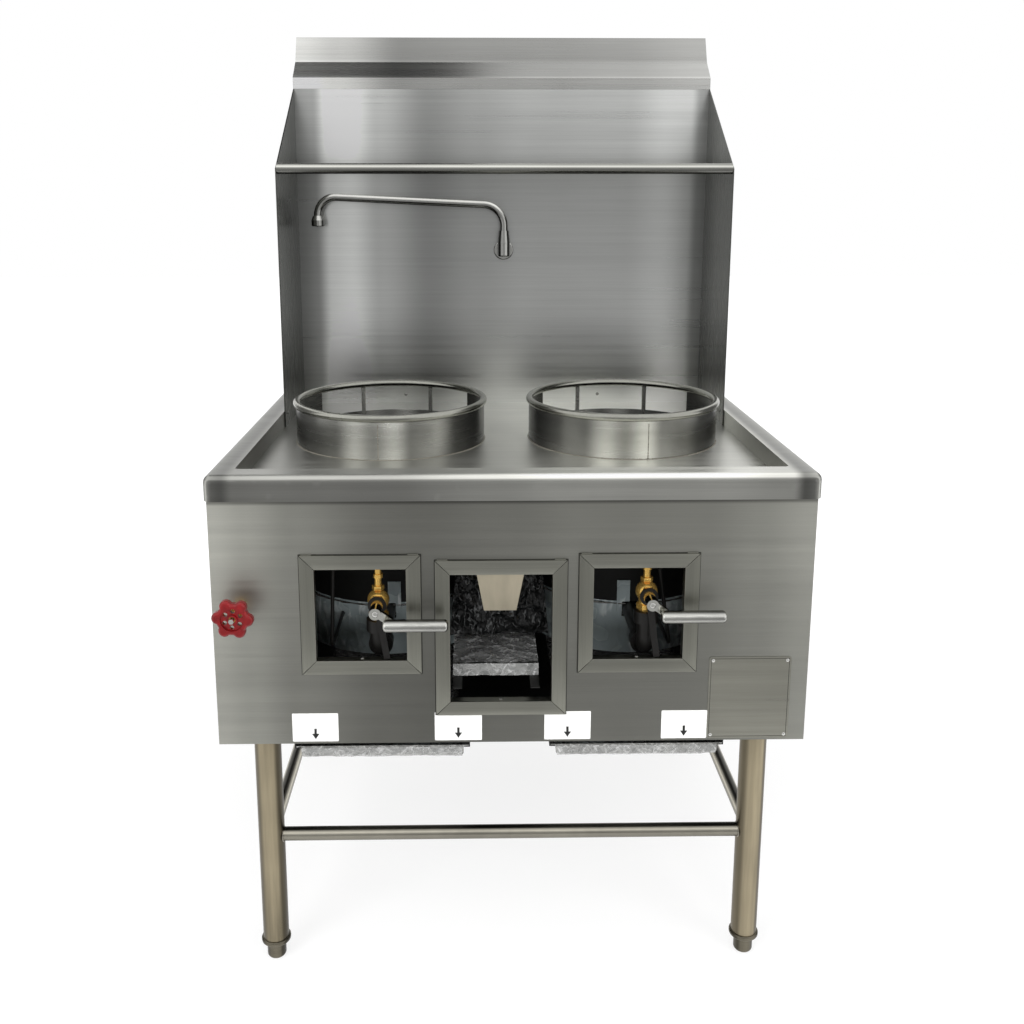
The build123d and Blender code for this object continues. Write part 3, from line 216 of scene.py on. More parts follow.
# Painted reflections and shade: the legs and feet are painted darker at their sides and lighter in the middle
# as they turn, the stretchers with a dark top, a painted highlight line and a duller underside.
round_painted_reflection = ((-1.0, 0.5), (-0.75, 0.4), (-0.4, 0.9), (0.1, 1.1), (0.5, 0.95), (0.75, 0.35), (1.0, 0.25))
stretcher_painted_reflection = ((-1.0, 0.4), (-0.2, 0.6), (0.25, 0.7), (0.55, 1.6), (0.75, 0.9), (0.9, 0.2), (1.0, 0.12))
tube_dull = brushed("dull stainless tube", srgb(148, 138, 116), 0.34, (160, 160, 9), streaks=0.6,
                    clouding=0.8, facing_x=round_painted_reflection)
tube_cross = brushed("dull stainless stretcher", srgb(164, 160, 148), 0.3, (60, 60, 60), clouding=0.4,
                     facing_z=stretcher_painted_reflection)
turned_steel = brushed("turned steel", srgb(112, 107, 94), 0.3, (60, 60, 1500), clouding=0.3,
                       facing_x=round_painted_reflection)
dress(tube_dull, "legs")
dress(tube_cross, "leg_stretchers")
dress(turned_steel, "leg_inserts", "front_left_foot", "rear_left_foot", "front_right_foot",
      "rear_right_foot")

# ---- Weld beads ----
# Rippled beads of a hand weld, a row of small overlapping puddles. They close the stretchers on
# the legs, the ring walls on the deck and the seam where each ring wall was rolled up.


def give_out(tree, leave, row, metal):
    """A geometry tree's last steps: the row made real, and coated."""
    solid = out_of(tree, "GeometryNodeRealizeInstances", {"Geometry": row})
    coat = out_of(tree, "GeometryNodeSetMaterial", {"Geometry": solid, "Material": metal})
    tree.links.new(coat, leave.inputs[0])


def make_bead_tree():
    """Puddles set along a curve: a whole circle, or with no radius a straight upright seam."""
    tree, given, leave = tree_with(
        "weld bead", "Geometry",
        (("Radius", "Float", 0.1), ("Height", "Float", 0.0), ("Bead", "Float", 0.001),
         ("Flat", "Float", 0.6), ("Count", "Int", 100), ("Seed", "Int", 3), ("Metal", "Material")))
    top = out_of(tree, "ShaderNodeCombineXYZ", {"Z": given["Height"]})
    circle = out_of(tree, "GeometryNodeCurvePrimitiveCircle", {"Resolution": 128, "Radius": given["Radius"]})
    line = out_of(tree, "GeometryNodeCurvePrimitiveLine", {"End": top})
    upright = out_of(tree, "FunctionNodeCompare", {0: given["Radius"], 1: 0.00001}, operation="LESS_THAN")
    path = out_of(tree, "GeometryNodeSwitch", {"Switch": upright, "False": circle, "True": line},
                  input_type="GEOMETRY")
    spots = out_of(tree, "GeometryNodeCurveToPoints", {"Curve": path, "Count": given["Count"]}, mode="COUNT")
    puddle = out_of(tree, "GeometryNodeMeshUVSphere", {"Segments": 8, "Rings": 4, "Radius": given["Bead"]})
    size = node_in(tree, "FunctionNodeRandomValue", {2: 0.8, 3: 1.25, "Seed": given["Seed"]},
                   data_type="FLOAT").outputs[1]
    flat = math_of(tree, "MULTIPLY", size, given["Flat"])
    scale = out_of(tree, "ShaderNodeCombineXYZ", {"X": size, "Y": size, "Z": flat})
    row = out_of(tree, "GeometryNodeInstanceOnPoints", {"Points": spots, "Instance": puddle, "Scale": scale})
    give_out(tree, leave, row, given["Metal"])
    return tree


bead_tree = make_bead_tree()


def placed(name, data):
    """A new object in the scene."""
    made = bpy.data.objects.new(name, data)
    bpy.context.scene.collection.objects.link(made)
    return made


def as_built(holder):
    """The plain mesh of an object with its modifiers worked out."""
    bpy.context.view_layer.update()
    seen = holder.evaluated_get(bpy.context.evaluated_depsgraph_get())
    return bpy.data.meshes.new_from_object(seen)


def grown(name, tree, values, source=None):
    """The plain mesh that a node tree makes from its named values."""
    holder = placed(name + " maker", source or bpy.data.meshes.new(name + " source"))
    step = holder.modifiers.new("nodes", "NODES")
    step.node_group = tree
    for item in tree.interface.items_tree:
        if item.in_out == "INPUT" and item.name in values:
            step[item.identifier] = values[item.name]
    holder.update_tag()
    mesh = as_built(holder)
    bpy.data.objects.remove(holder)
    mesh.name = name
    return mesh


def shown(name, mesh, body, smooth=38.0):
    """The finished piece: in the scene, riding on its body, with its finish slot."""
    piece = placed(name, mesh)
    sharp = math.radians(smooth)
    work = bmesh.new()
    work.from_mesh(mesh)
    for edge in work.edges:
        edge.smooth = edge.is_manifold and edge.calc_face_angle(0.0) < sharp
    for face in work.faces:
        face.smooth = True
    work.to_mesh(mesh)
    work.free()
    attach(piece, body)
    return piece


def made_mesh(name, work, *metals, solid=True):
    """A mesh from the shape being made, with its finishes."""
    if solid:
        bmesh.ops.recalc_face_normals(work, faces=work.faces[:])
    mesh = bpy.data.meshes.new(name)
    work.to_mesh(mesh)
    work.free()
    for metal in metals:
        mesh.materials.append(metal)
    return mesh


weld_metal = brushed("weld bead", srgb(150, 146, 136), 0.28, (900, 900, 900), clouding=0.8)
seam_off = {"left": -0.009, "right": 0.022}
foot_out, foot_rise, seam_proud, seam_rise = 0.0004, 0.0002, 0.0006, 0.002
for name in ("left", "right"):
    wall_low, wall_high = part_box(name + "_ring_wall")
    middle = (wall_low + wall_high) / 2
    radius = (wall_high.x - wall_low.x) / 2
    foot = grown(name + " ring weld", bead_tree,
                 {"Radius": radius + foot_out, "Bead": 0.0015, "Flat": 0.7, "Count": 520,
                  "Metal": weld_metal})
    foot.transform(Matrix.Translation((middle.x, middle.y, wall_low.z + foot_rise)))
    shown(name + "_ring_weld", foot, "range_body")
    off = seam_off[name]
    seam = grown(name + " ring seam", bead_tree,
                 {"Radius": 0.0, "Height": 0.058, "Bead": 0.0011, "Flat": 1.0, "Count": 60,
                  "Metal": weld_metal})
    front = middle.y - math.sqrt(radius ** 2 - off ** 2)
    seam.transform(Matrix.Translation((middle.x + off, front + seam_proud, wall_low.z + seam_rise)))
    shown(name + "_ring_seam", seam, "range_body")
leg_x, leg_front_y, leg_rear_y, cross_z, weld_reach = 0.391, -0.31, 0.348, 0.223, 0.0192
for place, x, y in (("front_left", -leg_x, leg_front_y), ("front_right", leg_x, leg_front_y),
                    ("rear_left", -leg_x, leg_rear_y), ("rear_right", leg_x, leg_rear_y)):
    inward = weld_reach if x < 0 else -weld_reach
    back = weld_reach if y < 0 else -weld_reach
    cross = grown(place + " stretcher weld", bead_tree,
                  {"Radius": 0.0113, "Bead": 0.0014, "Flat": 0.8, "Count": 46, "Metal": weld_metal})
    both = bmesh.new()
    for axis, spot in (("Y", (x + inward, y, cross_z)), ("X", (x, y + back, cross_z))):
        ring = cross.copy()
        ring.transform(Matrix.Translation(spot) @ Matrix.Rotation(math.pi / 2, 4, axis))
        both.from_mesh(ring)
    shown(place + "_stretcher_weld", made_mesh(place + " welds", both, weld_metal, solid=False),
          "range_body")

# ---- Cabinet: base pan, sides and rear ----
# Folded sheet. The pan and the rear panel are mill-finish steel under a black heat coat; the sides
# are the same brushed stainless as the front, with the grain running front to back.


def coated(name, tone, finish, metal, scale, relief, spread=0.35):
    """A coated, cast or oxidised metal: mottled colour and a fine uneven skin."""
    made, tree, shader, place = new_finish(name, {"Metallic": metal})
    mottle = noise_of(tree, place, scale / 9, 4.0, Roughness=0.6)
    level = math_of(tree, "MULTIPLY_ADD", mottle, 2 * spread, 1.0 - spread)
    rough = math_of(tree, "MULTIPLY_ADD", mottle, 0.2, finish - 0.1)
    skin = noise_of(tree, place, scale, 3.0)
    settle(tree, shader, scaled(tree, tone[:3], level), rough, skin, relief, 0.001)
    return made


heat_black = coated("black heat coat", srgb(26, 26, 25), 0.6, 0.3, 900, 0.2)
sheet_side = brushed("brushed side sheet", srgb(166, 166, 158), 0.36, (900, 7, 900))
sheet_back = brushed("galvanised back sheet", srgb(152, 154, 152), 0.45, (70, 70, 70), clouding=0.25)
dress(heat_black, "base_pan", "rear_panel")
dress(sheet_side, "left_side_panel", "right_side_panel")

# ---- Drip trays and their runners ----
# Shallow folded pans still in their clear delivery film, which is drawn tight over the front and
# bunches into sharp crinkles. They hang by their flanges in plain steel angles.


def make_crinkle_group():
    """Creased film: thin winding crests, large and small, as a height and as a mask of the crests."""
    tree, given, leave = tree_with(
        "crinkled film", "Shader", (("Coordinates", "Vector"), ("Stretch", "Vector"), ("Scale", "Float")),
        (("Height", "Float"), ("Folds", "Float")))
    pulled = out_of(tree, "ShaderNodeVectorMath", {0: given["Coordinates"], 1: given["Stretch"]},
                    operation="MULTIPLY")
    crests = []
    for share, detail in ((1.0, 1.0), (2.6, 0.0)):
        size = math_of(tree, "MULTIPLY", given["Scale"], share)
        wave = noise_of(tree, pulled, size, detail, Distortion=0.6)
        away = math_of(tree, "ABSOLUTE", math_of(tree, "SUBTRACT", wave, 0.5))
        crests.append(math_of(tree, "SUBTRACT", 1.0, math_of(tree, "MULTIPLY", away, 5.0)))
    small = math_of(tree, "MULTIPLY", crests[1], 0.35)
    ridge = math_of(tree, "MULTIPLY_ADD", crests[0], 0.65, small)
    folds = out_of(tree, "ShaderNodeMapRange", {"Value": ridge, "From Min": 0.7, "From Max": 0.98})
    tree.links.new(ridge, leave.inputs["Height"])
    tree.links.new(folds, leave.inputs["Folds"])
    return tree


crinkle_group = make_crinkle_group()


def wrapped(name, dark, light, finish, metal, scale, stretch=(1, 1, 1), alpha=None):
    """Sheet under creased film, or with an alpha the loose film itself."""
    made, tree, shader, place = new_finish(
        name, {"Metallic": metal, "Coat Weight": 0.5, "Coat Roughness": 0.08})
    crease = node_in(tree, "ShaderNodeGroup", node_tree=crinkle_group,
                     inputs={"Coordinates": place, "Stretch": stretch, "Scale": scale})
    # The crests of the creases are painted paler, a painted highlight on the folds; the loose film is also
    # made less clear there.
    patch = noise_of(tree, place, 26.0, 2.0)
    crest_highlight = math_of(tree, "MULTIPLY", crease.outputs["Folds"], patch)
    rough = math_of(tree, "MULTIPLY_ADD", patch, 0.25, finish - 0.12)
    settle(tree, shader, blend(tree, crest_highlight, dark, light), rough, crease.outputs["Height"], 0.6, 0.003)
    if alpha:
        tree.links.new(math_of(tree, "MULTIPLY_ADD", crest_highlight, 0.8, alpha), shader.inputs["Alpha"])
    return made


film_steel = wrapped("filmed tray steel", srgb(156, 156, 153), srgb(246, 246, 244), 0.24, 0.85, 36)
skirt_steel = wrapped("filmed skirt steel", srgb(150, 160, 161), srgb(236, 240, 240), 0.26, 0.2, 20,
                      (1, 1, 0.4))
clear_film = wrapped("clear film", srgb(190, 191, 190), srgb(255, 255, 255), 0.14, 0.0, 34, alpha=0.32)
black_film = wrapped("black film", srgb(20, 21, 21), srgb(150, 152, 152), 0.18, 0.0, 52, (1, 1, 0.6))
dress(heat_black, "tray_runners")
dress(film_steel, "left_drip_tray", "right_drip_tray", "scrap_tray")


def crinkled(name, corners, steps, lift, seed, metal, thick=0.0003):
    """A creased sheet over a four-cornered patch, raised along its normal by up to lift."""
    to_metre, finer, steep = 34, 2.2, 2.2
    corner = [Vector(one) for one in corners]
    facing = (corner[1] - corner[0]).cross(corner[3] - corner[0]).normalized()
    work = bmesh.new()
    rows = []
    for i in range(steps[0] + 1):
        u = i / steps[0]
        row = []
        for j in range(steps[1] + 1):
            v = j / steps[1]
            spot = (corner[0].lerp(corner[1], u)).lerp(corner[3].lerp(corner[2], u), v)
            where = spot * to_metre + Vector((seed, seed * 2.3, 0))
            crease = 1 - abs(noise.noise(where)) * steep
            small = 1 - abs(noise.noise(where * finer + Vector((7, 1, 3)))) * steep
            rise = max(0.0, min(1.0, 0.7 * crease + 0.3 * small))
            row.append(work.verts.new(spot + facing * (lift * rise + 0.0003)))
        rows.append(row)
    for i in range(steps[0]):
        for j in range(steps[1]):
            work.faces.new((rows[i][j], rows[i + 1][j], rows[i + 1][j + 1], rows[i][j + 1]))
    bmesh.ops.solidify(work, geom=work.faces[:], thickness=-thick)
    return made_mesh(name, work, metal)


def merged(name, *meshes):
    """Several meshes as one, each with its own finish."""
    work = bmesh.new()
    made = bpy.data.meshes.new(name)
    for mesh in meshes:
        before = len(work.faces)
        work.from_mesh(mesh)
        metal = next(one for one in mesh.materials if one)
        if metal.name not in made.materials:
            made.materials.append(metal)
        work.faces.ensure_lookup_table()
        for face in work.faces[before:]:
            face.material_index = made.materials.find(metal.name)
    work.to_mesh(made)
    work.free()
    return made


film_inset, film_reach = 0.010, 0.13
for name in ("left", "right"):
    low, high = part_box(name + "_drip_tray")
    x0, x1 = low.x + film_inset, high.x - film_inset
    z0, z1, y0, y1 = low.z + 0.001, high.z - 0.002, low.y + 0.001, low.y + film_reach
    front = crinkled(name + " film front",
                     ((x0, low.y, z0), (x1, low.y, z0), (x1, low.y, z1), (x0, low.y, z1)),
                     (120, 8), 0.0022, 3, clear_film)
    under = crinkled(name + " film under",
                     ((x1, y0, low.z), (x0, y0, low.z), (x0, y1, low.z), (x1, y1, low.z)),
                     (110, 50), 0.0025, 9, clear_film)
    shown(name + "_tray_film", merged(name + " tray film", front, under), name + "_drip_tray_drawer",
          smooth=60)

# ---- Front panel and window frames ----
# One brushed sheet with three openings. Each opening is trimmed with flat bar cut to a mitre at the
# corners and dressed flush, welded to a thin sleeve that lines the cut edge of the panel.
# Painted reflections: the panel is painted brighter towards its ends, darker left of the middle and lighter
# towards the top, with a painted shadow under the deck's nose along its top edge.
panel_painted_reflection = ((-0.455, 1.9), (-0.40, 1.5), (-0.33, 1.05), (-0.20, 0.7), (-0.12, 0.65), (0.0, 0.75),
               (0.1, 0.88), (0.29, 0.9), (0.37, 1.1), (0.455, 1.45))
panel_painted_rise_and_shadow = ((0.41, 0.7), (0.5, 0.74), (0.62, 0.88), (0.74, 1.0), (0.795, 1.0), (0.8, 0.5), (0.831, 0.3))
sheet_front = brushed("brushed front sheet", srgb(160, 160, 153), 0.46, (7, 900, 900), streaks=0.16,
                      clouding=0.16, across=panel_painted_reflection, upward=panel_painted_rise_and_shadow)
bar_cross = brushed("brushed bar, grain across", srgb(148, 148, 139), 0.36, (9, 900, 900), clouding=0.25)
bar_up = brushed("brushed bar, grain upward", srgb(140, 140, 131), 0.36, (900, 900, 9), clouding=0.25)
dress(sheet_front, "front_panel")


def block(work, x0, x1, y0, y1, z0, z1, slot=0):
    """A straight-sided solid in a mesh being made."""
    spots = [work.verts.new((x, y, z)) for x in (x0, x1) for y in (y0, y1) for z in (z0, z1)]
    for ring in ((0, 1, 3, 2), (4, 6, 7, 5), (0, 4, 5, 1), (2, 3, 7, 6), (0, 2, 6, 4), (1, 5, 7, 3)):
        work.faces.new([spots[i] for i in ring]).material_index = slot


def joined_up(work, first, second):
    """The new faces between two rings of points."""
    fours = zip(first, second, second[1:] + second[:1], first[1:] + first[:1])
    return [work.faces.new(four) for four in fours]


def bars_round(work, x0, x1, z0, z1, wide, y0, y1, slots):
    """Four bars laid round the outside of an upright rectangle; slots are (flat bars, upright bars)."""
    for low_x, high_x in ((x0 - wide, x0), (x1, x1 + wide)):
        block(work, low_x, high_x, y0, y1, z0 - wide, z1 + wide, slots[1])
    for low_z, high_z in ((z0 - wide, z0), (z1, z1 + wide)):
        block(work, x0, x1, y0, y1, low_z, high_z, slots[0])


bar_wide, bar_deep, sleeve_wall, sleeve_deep = 0.022, 0.004, 0.0015, 0.012
mitre_gap, bar_edge, hair = 0.000375, 0.0005, 0.0002
shadow_strip_wide, shadow_strip_deep = 0.0014, 0.0003
tab_inset, tab_wide, tab_rise = 0.003, 0.016, 0.0018
# A dark coat for the painted shadow strip round each frame and for the plate's border line.
shadow_strip_and_border_dark = coated("painted shadow strip and border line", srgb(46, 46, 42), 0.55, 0.4, 600, 0.2)
panel_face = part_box("front_panel")[0].y
for name in ("left", "centre", "right"):
    low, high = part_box(name + "_window_frame")
    x0, x1, z0, z1 = low.x, high.x, low.z, high.z - tab_rise
    work = bmesh.new()
    for turn in range(4):
        upright = turn % 2
        first, last = ((x0, x1), (z0, z1))[upright]
        edge = (z0, x1, z1, x0)[turn]
        inner = edge + (bar_wide if turn in (0, 3) else -bar_wide)
        outline = ((first + mitre_gap, edge), (last - mitre_gap, edge),
                   (last - bar_wide - mitre_gap, inner), (first + bar_wide + mitre_gap, inner))
        fronts, backs = [], []
        for along, aside in outline:
            x, z = (aside, along) if upright else (along, aside)
            fronts.append(work.verts.new((x, panel_face - bar_deep, z)))
            backs.append(work.verts.new((x, panel_face - hair / 4, z)))
        for face in [work.faces.new(fronts), work.faces.new(backs[::-1])] + joined_up(work, fronts, backs):
            face.material_index = upright
    bmesh.ops.recalc_face_normals(work, faces=work.faces[:])
    rims = [one for one in work.edges if all(vert.co.y < panel_face - bar_deep / 2 for vert in one.verts)]
    bmesh.ops.bevel(work, geom=rims, offset=bar_edge, segments=2, affect="EDGES", profile=0.5)
    bars_round(work, x0 + bar_wide, x1 - bar_wide, z0 + bar_wide, z1 - bar_wide, sleeve_wall,
               panel_face - hair, panel_face + sleeve_deep, (0, 1))
    for tab in (x0 + tab_inset, x1 - tab_inset - tab_wide):
        block(work, tab, tab + tab_wide, panel_face - bar_deep / 2, panel_face - hair, z1, z1 + tab_rise)
    # A thin dark strip round the outside of each frame: painted shadow in the gap at its edge.
    bars_round(work, x0, x1, z0, z1, shadow_strip_wide, panel_face - shadow_strip_deep, panel_face, (2, 2))
    mesh = made_mesh(name + " mitred frame", work, bar_cross, bar_up, shadow_strip_and_border_dark)
    piece = shown(name + "_mitred_frame", mesh, "range_body", smooth=50)
    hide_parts(name + "_window_frame")

# ---- Deck ----
# One folded stainless sheet, its rim rounded over the front and sides with the corners welded and
# ground, and a well sunk inside it. The brushing on the rim runs along the front.
# Painted reflections across the deck, dark near each end and bright right of the middle; as the rim turns to
# face the front, a painted highlight along the nose's top and its front face painted darker.
deck_painted_reflection = ((-0.457, 0.7), (-0.43, 0.42), (-0.412, 0.75), (-0.36, 0.85), (-0.2, 0.9), (-0.05, 1.35),
              (0.1, 1.75), (0.3, 1.75), (0.412, 1.4), (0.43, 0.5), (0.457, 0.9))
nose_painted_light = ((-1.0, 0.46), (-0.93, 0.46), (-0.8, 1.1), (-0.45, 1.2), (-0.2, 0.86), (0.0, 0.84), (1.0, 0.84))


def scuff(material, amount):
    """Short scratches of use in all directions over a brushed sheet's colour and gloss."""
    tree = material.node_tree
    shader = tree.nodes["Principled BSDF"]
    place = node_in(tree, "ShaderNodeTexCoord").outputs["Object"]
    marks = 0.0
    for turn, scale in ((0.5, 26.0), (-0.9, 31.0), (1.9, 22.0)):
        turned = out_of(tree, "ShaderNodeMapping",
                        {"Vector": place, "Rotation": (0.0, 0.0, turn), "Scale": (1.0, 16.0, 1.0)})
        lines = noise_of(tree, turned, scale, 1.0)
        thin = out_of(tree, "ShaderNodeMapRange", {"Value": lines, "From Min": 0.7, "From Max": 0.78})
        marks = math_of(tree, "MAXIMUM", thin, marks)
    spread = noise_of(tree, place, 6.0, 1.0)
    shown_marks = math_of(tree, "MULTIPLY", marks, math_of(tree, "MULTIPLY", spread, amount))
    colour = shader.inputs["Base Color"].links[0].from_socket
    paler = blend(tree, shown_marks, colour, srgb(236, 236, 230))
    tree.links.new(paler, shader.inputs["Base Color"])
    rough = shader.inputs["Roughness"].links[0].from_socket
    tree.links.new(math_of(tree, "MULTIPLY_ADD", shown_marks, 0.2, rough), shader.inputs["Roughness"])


deck_sheet = brushed("brushed deck sheet", srgb(204, 204, 198), 0.38, (8, 900, 900), streaks=0.2,
                     clouding=0.3, relief=0.03, across=deck_painted_reflection, facing_y=nose_painted_light)
scuff(deck_sheet, 0.15)
dress(deck_sheet, "deck_top")

# ---- Chambers, skirts and burners ----
# Black-coated chambers hang under the deck, and a film-wrapped skirt hangs below each round a cast
# iron burner, whose pointed steel jets stand in two circles.
iron = coated("cast iron", srgb(58, 55, 52), 0.62, 0.7, 260, 0.5, 0.4)
jet_steel = coated("jet steel", srgb(96, 92, 84), 0.4, 0.9, 700, 0.15, 0.25)
dress(heat_black, "left_chamber", "right_chamber")
dress(iron, "left_burner", "right_burner")
dress(jet_steel, "burner_tips")
dress(skirt_steel, "burner_skirts")

roll_turns, roll_sides, roll_size, skirt_radius = 160, 8, 0.0018, 0.1722
rolls = []
for name in ("left", "right"):
    low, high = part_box(name + "_chamber")
    middle = (low + high) / 2
    work = bmesh.new()
    rings = []
    for i in range(roll_turns):
        a = math.tau * i / roll_turns
        out = Vector((math.cos(a), math.sin(a), 0))
        size = roll_size * (0.75 + 0.5 * noise.noise(out * 9 + middle * 20))
        heart = Vector((middle.x, middle.y, low.z - 2 * roll_size)) + out * (skirt_radius + size)
        rings.append([work.verts.new(heart + (out * math.cos(t) + Vector((0, 0, math.sin(t)))) * size)
                      for t in (math.tau * k / roll_sides for k in range(roll_sides))])
    for first, second in zip(rings, rings[1:] + rings[:1]):
        joined_up(work, first, second)
    rolls.append(made_mesh(name + " film roll", work, film_steel))
shown("skirt_film_rolls", merged("skirt film rolls", *rolls), "range_body", 60)

# ---- Gas line ----
# Black steel pipe for the manifold and the burner feeds, with forged brass globe valves between
# them, a hex gland on each, and thin black pilot tubes that bend down behind the panel.
pipe_black = coated("black pipe", srgb(34, 33, 32), 0.42, 0.6, 500, 0.25)
brass = coated("forged brass", srgb(236, 192, 104), 0.24, 0.85, 420, 0.12, 0.25)
dress(pipe_black, "gas_manifold", "pilot_lines", "valve_straps", "left_burner_pipe", "right_burner_pipe")
dress(brass, "left_gas_valve", "right_gas_valve")


def hexagon(work, centre, axis, low, high, radius, rounding=0.0006):
    """A hex nut's body round an axis, with softened corners."""
    rings = []
    for level in (low, high):
        turns = [math.tau * i / 6 for i in range(6)]
        corners = [(radius * math.cos(a), radius * math.sin(a)) for a in turns]
        rings.append([work.verts.new((centre[0] + u, level, centre[2] + v) if axis == "Y"
                                     else (centre[0] + u, centre[1] + v, level)) for u, v in corners])
    made = [work.faces.new(rings[0][::-1]), work.faces.new(rings[1])] + joined_up(work, *rings)
    bmesh.ops.recalc_face_normals(work, faces=made)
    edges = list({edge for face in made for edge in face.edges})
    bmesh.ops.bevel(work, geom=edges, offset=rounding, segments=2, affect="EDGES", profile=0.5)


valve_y, valve_rise, gland_front, gland_back, gland_radius = -0.334, 0.030, 0.0225, 0.0155, 0.0135
for name in ("left", "right"):
    low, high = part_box(name + "_gas_valve")
    heart = ((low.x + high.x) / 2, valve_y, low.z + valve_rise)
    work = bmesh.new()
    hexagon(work, heart, "Y", valve_y - gland_front, valve_y - gland_back, gland_radius)
    for base, tall, radius in ((heart[2] + 0.0165, 0.007, 0.0098), (high.z - 0.009, 0.008, 0.0105),
                               (heart[2] - 0.0285, 0.0095, 0.0155)):
        hexagon(work, heart, "Z", base, base + tall, radius)
    mesh = made_mesh(name + " valve nuts", work, brass, solid=False)
    shown(name + "_valve_nuts", mesh, "range_body")

# ---- Screws and rivets ----
# Domed rivets hold the rating plate and the flue riser. Cross-slot pan screws hold the window
# sleeves, the backguard, the shields and the rear panel. All are turned heads.


def turned_head(name, radius, height, dome, slotted):
    """A turned head standing on the origin along Z, with a cross slot cut in it if slotted."""
    profile = [(radius, 0.0), (radius, height * (1 - dome))]
    for i in range(1, 5):
        a = math.radians(18 * i)
        profile.append((radius * math.cos(a), height * (1 - dome) + height * dome * math.sin(a)))
    work = bmesh.new()
    turns = [math.tau * t / 24 for t in range(24)]
    rings = [[work.verts.new((r * math.cos(t), r * math.sin(t), h)) for t in turns] for r, h in profile]
    work.faces.new(rings[0][::-1])
    for first, second in zip(rings, rings[1:]):
        joined_up(work, first, second)
    top = work.verts.new((0, 0, height))
    for first, second in zip(rings[-1], rings[-1][1:] + rings[-1][:1]):
        work.faces.new((first, second, top))
    mesh = made_mesh(name, work)
    if not slotted:
        return mesh
    head = placed(name, mesh)
    slot_half, slot_side, slot_floor = radius * 0.62, radius * 0.13, height * 0.45
    work = bmesh.new()
    block(work, -slot_half, slot_half, -slot_side, slot_side, slot_floor, height * 2)
    slot = made_mesh(name + " slot", work)
    for turn in (0, 1):
        blade = slot.copy()
        blade.transform(Matrix.Rotation(math.pi / 2 * turn, 4, "Z"))
        cutter = placed(name + " cutter", blade)
        cut = head.modifiers.new("slot", "BOOLEAN")
        cut.operation, cut.solver, cut.object = "DIFFERENCE", "EXACT", cutter
        head.data = as_built(head)
        head.modifiers.clear()
        bpy.data.objects.remove(cutter)
    mesh = head.data
    bpy.data.objects.remove(head)
    return mesh


def make_fastener_tree():
    """One head on each point of a mesh, turned to face the way that the point's facing says."""
    tree, given, leave = tree_with(
        "fasteners", "Geometry",
        (("Geometry", "Geometry"), ("Head", "Object"), ("Size", "Float", 1.0), ("Seed", "Int", 5),
         ("Metal", "Material")))
    facing = out_of(tree, "GeometryNodeInputNamedAttribute", {"Name": "facing"}, data_type="FLOAT_VECTOR")
    aligned = out_of(tree, "FunctionNodeAlignRotationToVector", {"Vector": facing}, axis="Z")
    spin = node_in(tree, "FunctionNodeRandomValue", {2: 0.0, 3: 1.5, "Seed": given["Seed"]},
                   data_type="FLOAT").outputs[1]
    about = out_of(tree, "ShaderNodeCombineXYZ", {"Z": spin})
    turned = out_of(tree, "FunctionNodeRotateRotation", {0: aligned, 1: about}, rotation_space="LOCAL")
    head = node_in(tree, "GeometryNodeObjectInfo", {"Object": given["Head"], "As Instance": True})
    row = out_of(tree, "GeometryNodeInstanceOnPoints",
                 {"Points": given["Geometry"], "Instance": head.outputs["Geometry"],
                  "Rotation": turned, "Scale": given["Size"]})
    give_out(tree, leave, row, given["Metal"])
    return tree


fastener_tree = make_fastener_tree()
screw_metal = brushed("bright screw", srgb(216, 216, 212), 0.2, (300, 300, 300), clouding=0.3)
dull_screw = brushed("dull screw", srgb(150, 150, 146), 0.34, (300, 300, 300), clouding=0.4)


def fixed(name, head, spots, metal):
    """The mesh of one kind of head at every (place, facing)."""
    source = bpy.data.meshes.new(name + " spots")
    source.from_pydata([place for place, facing in spots], [], [])
    way = source.attributes.new("facing", "FLOAT_VECTOR", "POINT")
    for point, (place, facing) in zip(way.data, spots):
        point.vector = facing
    holder = placed(name + " head", head)
    mesh = grown(name, fastener_tree, {"Head": holder, "Size": 1.0, "Metal": metal}, source)
    bpy.data.objects.remove(holder)
    return mesh


rivet_head = turned_head("rivet head", 0.0027, 0.0012, 0.85, False)
pan_head = turned_head("pan head", 0.0033, 0.0021, 0.6, True)
plate_low, plate_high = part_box("rating_plate")
rivet_inset, edge_inset = 0.006, 0.012
splash_screw_x, splash_screw_z, shield_screw_y, shield_screw_z = 0.202, 0.833, 0.025, 0.838
riser_rivet_z, riser_pitch, rear_screw_rise, rear_pitch = 0.88, 0.106, 0.03, 0.11
rivets = [((x, plate_low.y, z), (0, -1, 0)) for x in (plate_low.x + rivet_inset, plate_high.x - rivet_inset)
          for z in (plate_low.z + rivet_inset, plate_high.z - rivet_inset)]
screws = []
for name in ("left", "centre", "right"):
    low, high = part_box(name + "_window_frame")
    screws.append((((low.x + high.x) / 2, panel_face + sleeve_deep / 2, low.z + bar_wide), (0, 0, 1)))
splash_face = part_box("back_splash")[0].y
shield_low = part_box("right_shield")[0]
riser_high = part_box("flue_riser")[1]
rear_low, rear_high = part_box("rear_panel")
for side in (-1, 1):
    screws.append(((side * splash_screw_x, splash_face, splash_screw_z), (0, -1, 0)))
    screws.append(((side * shield_low.x, shield_low.y + shield_screw_y, shield_screw_z), (-side, 0, 0)))
    for step in range(6):
        spot = (side * riser_high.x, riser_high.y - edge_inset, riser_rivet_z + riser_pitch * step)
        rivets.append((spot, (side, 0, 0)))
    for step in range(4):
        spot = (side * (rear_high.x - edge_inset), rear_high.y,
                rear_low.z + rear_screw_rise + rear_pitch * step)
        screws.append((spot, (0, 1, 0)))
fixings = merged("fixings", fixed("rivets", rivet_head, rivets, screw_metal),
                 fixed("screws", pan_head, screws, dull_screw))
piece = shown("rivets_and_screws", fixings, "range_body")
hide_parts("panel_fasteners")

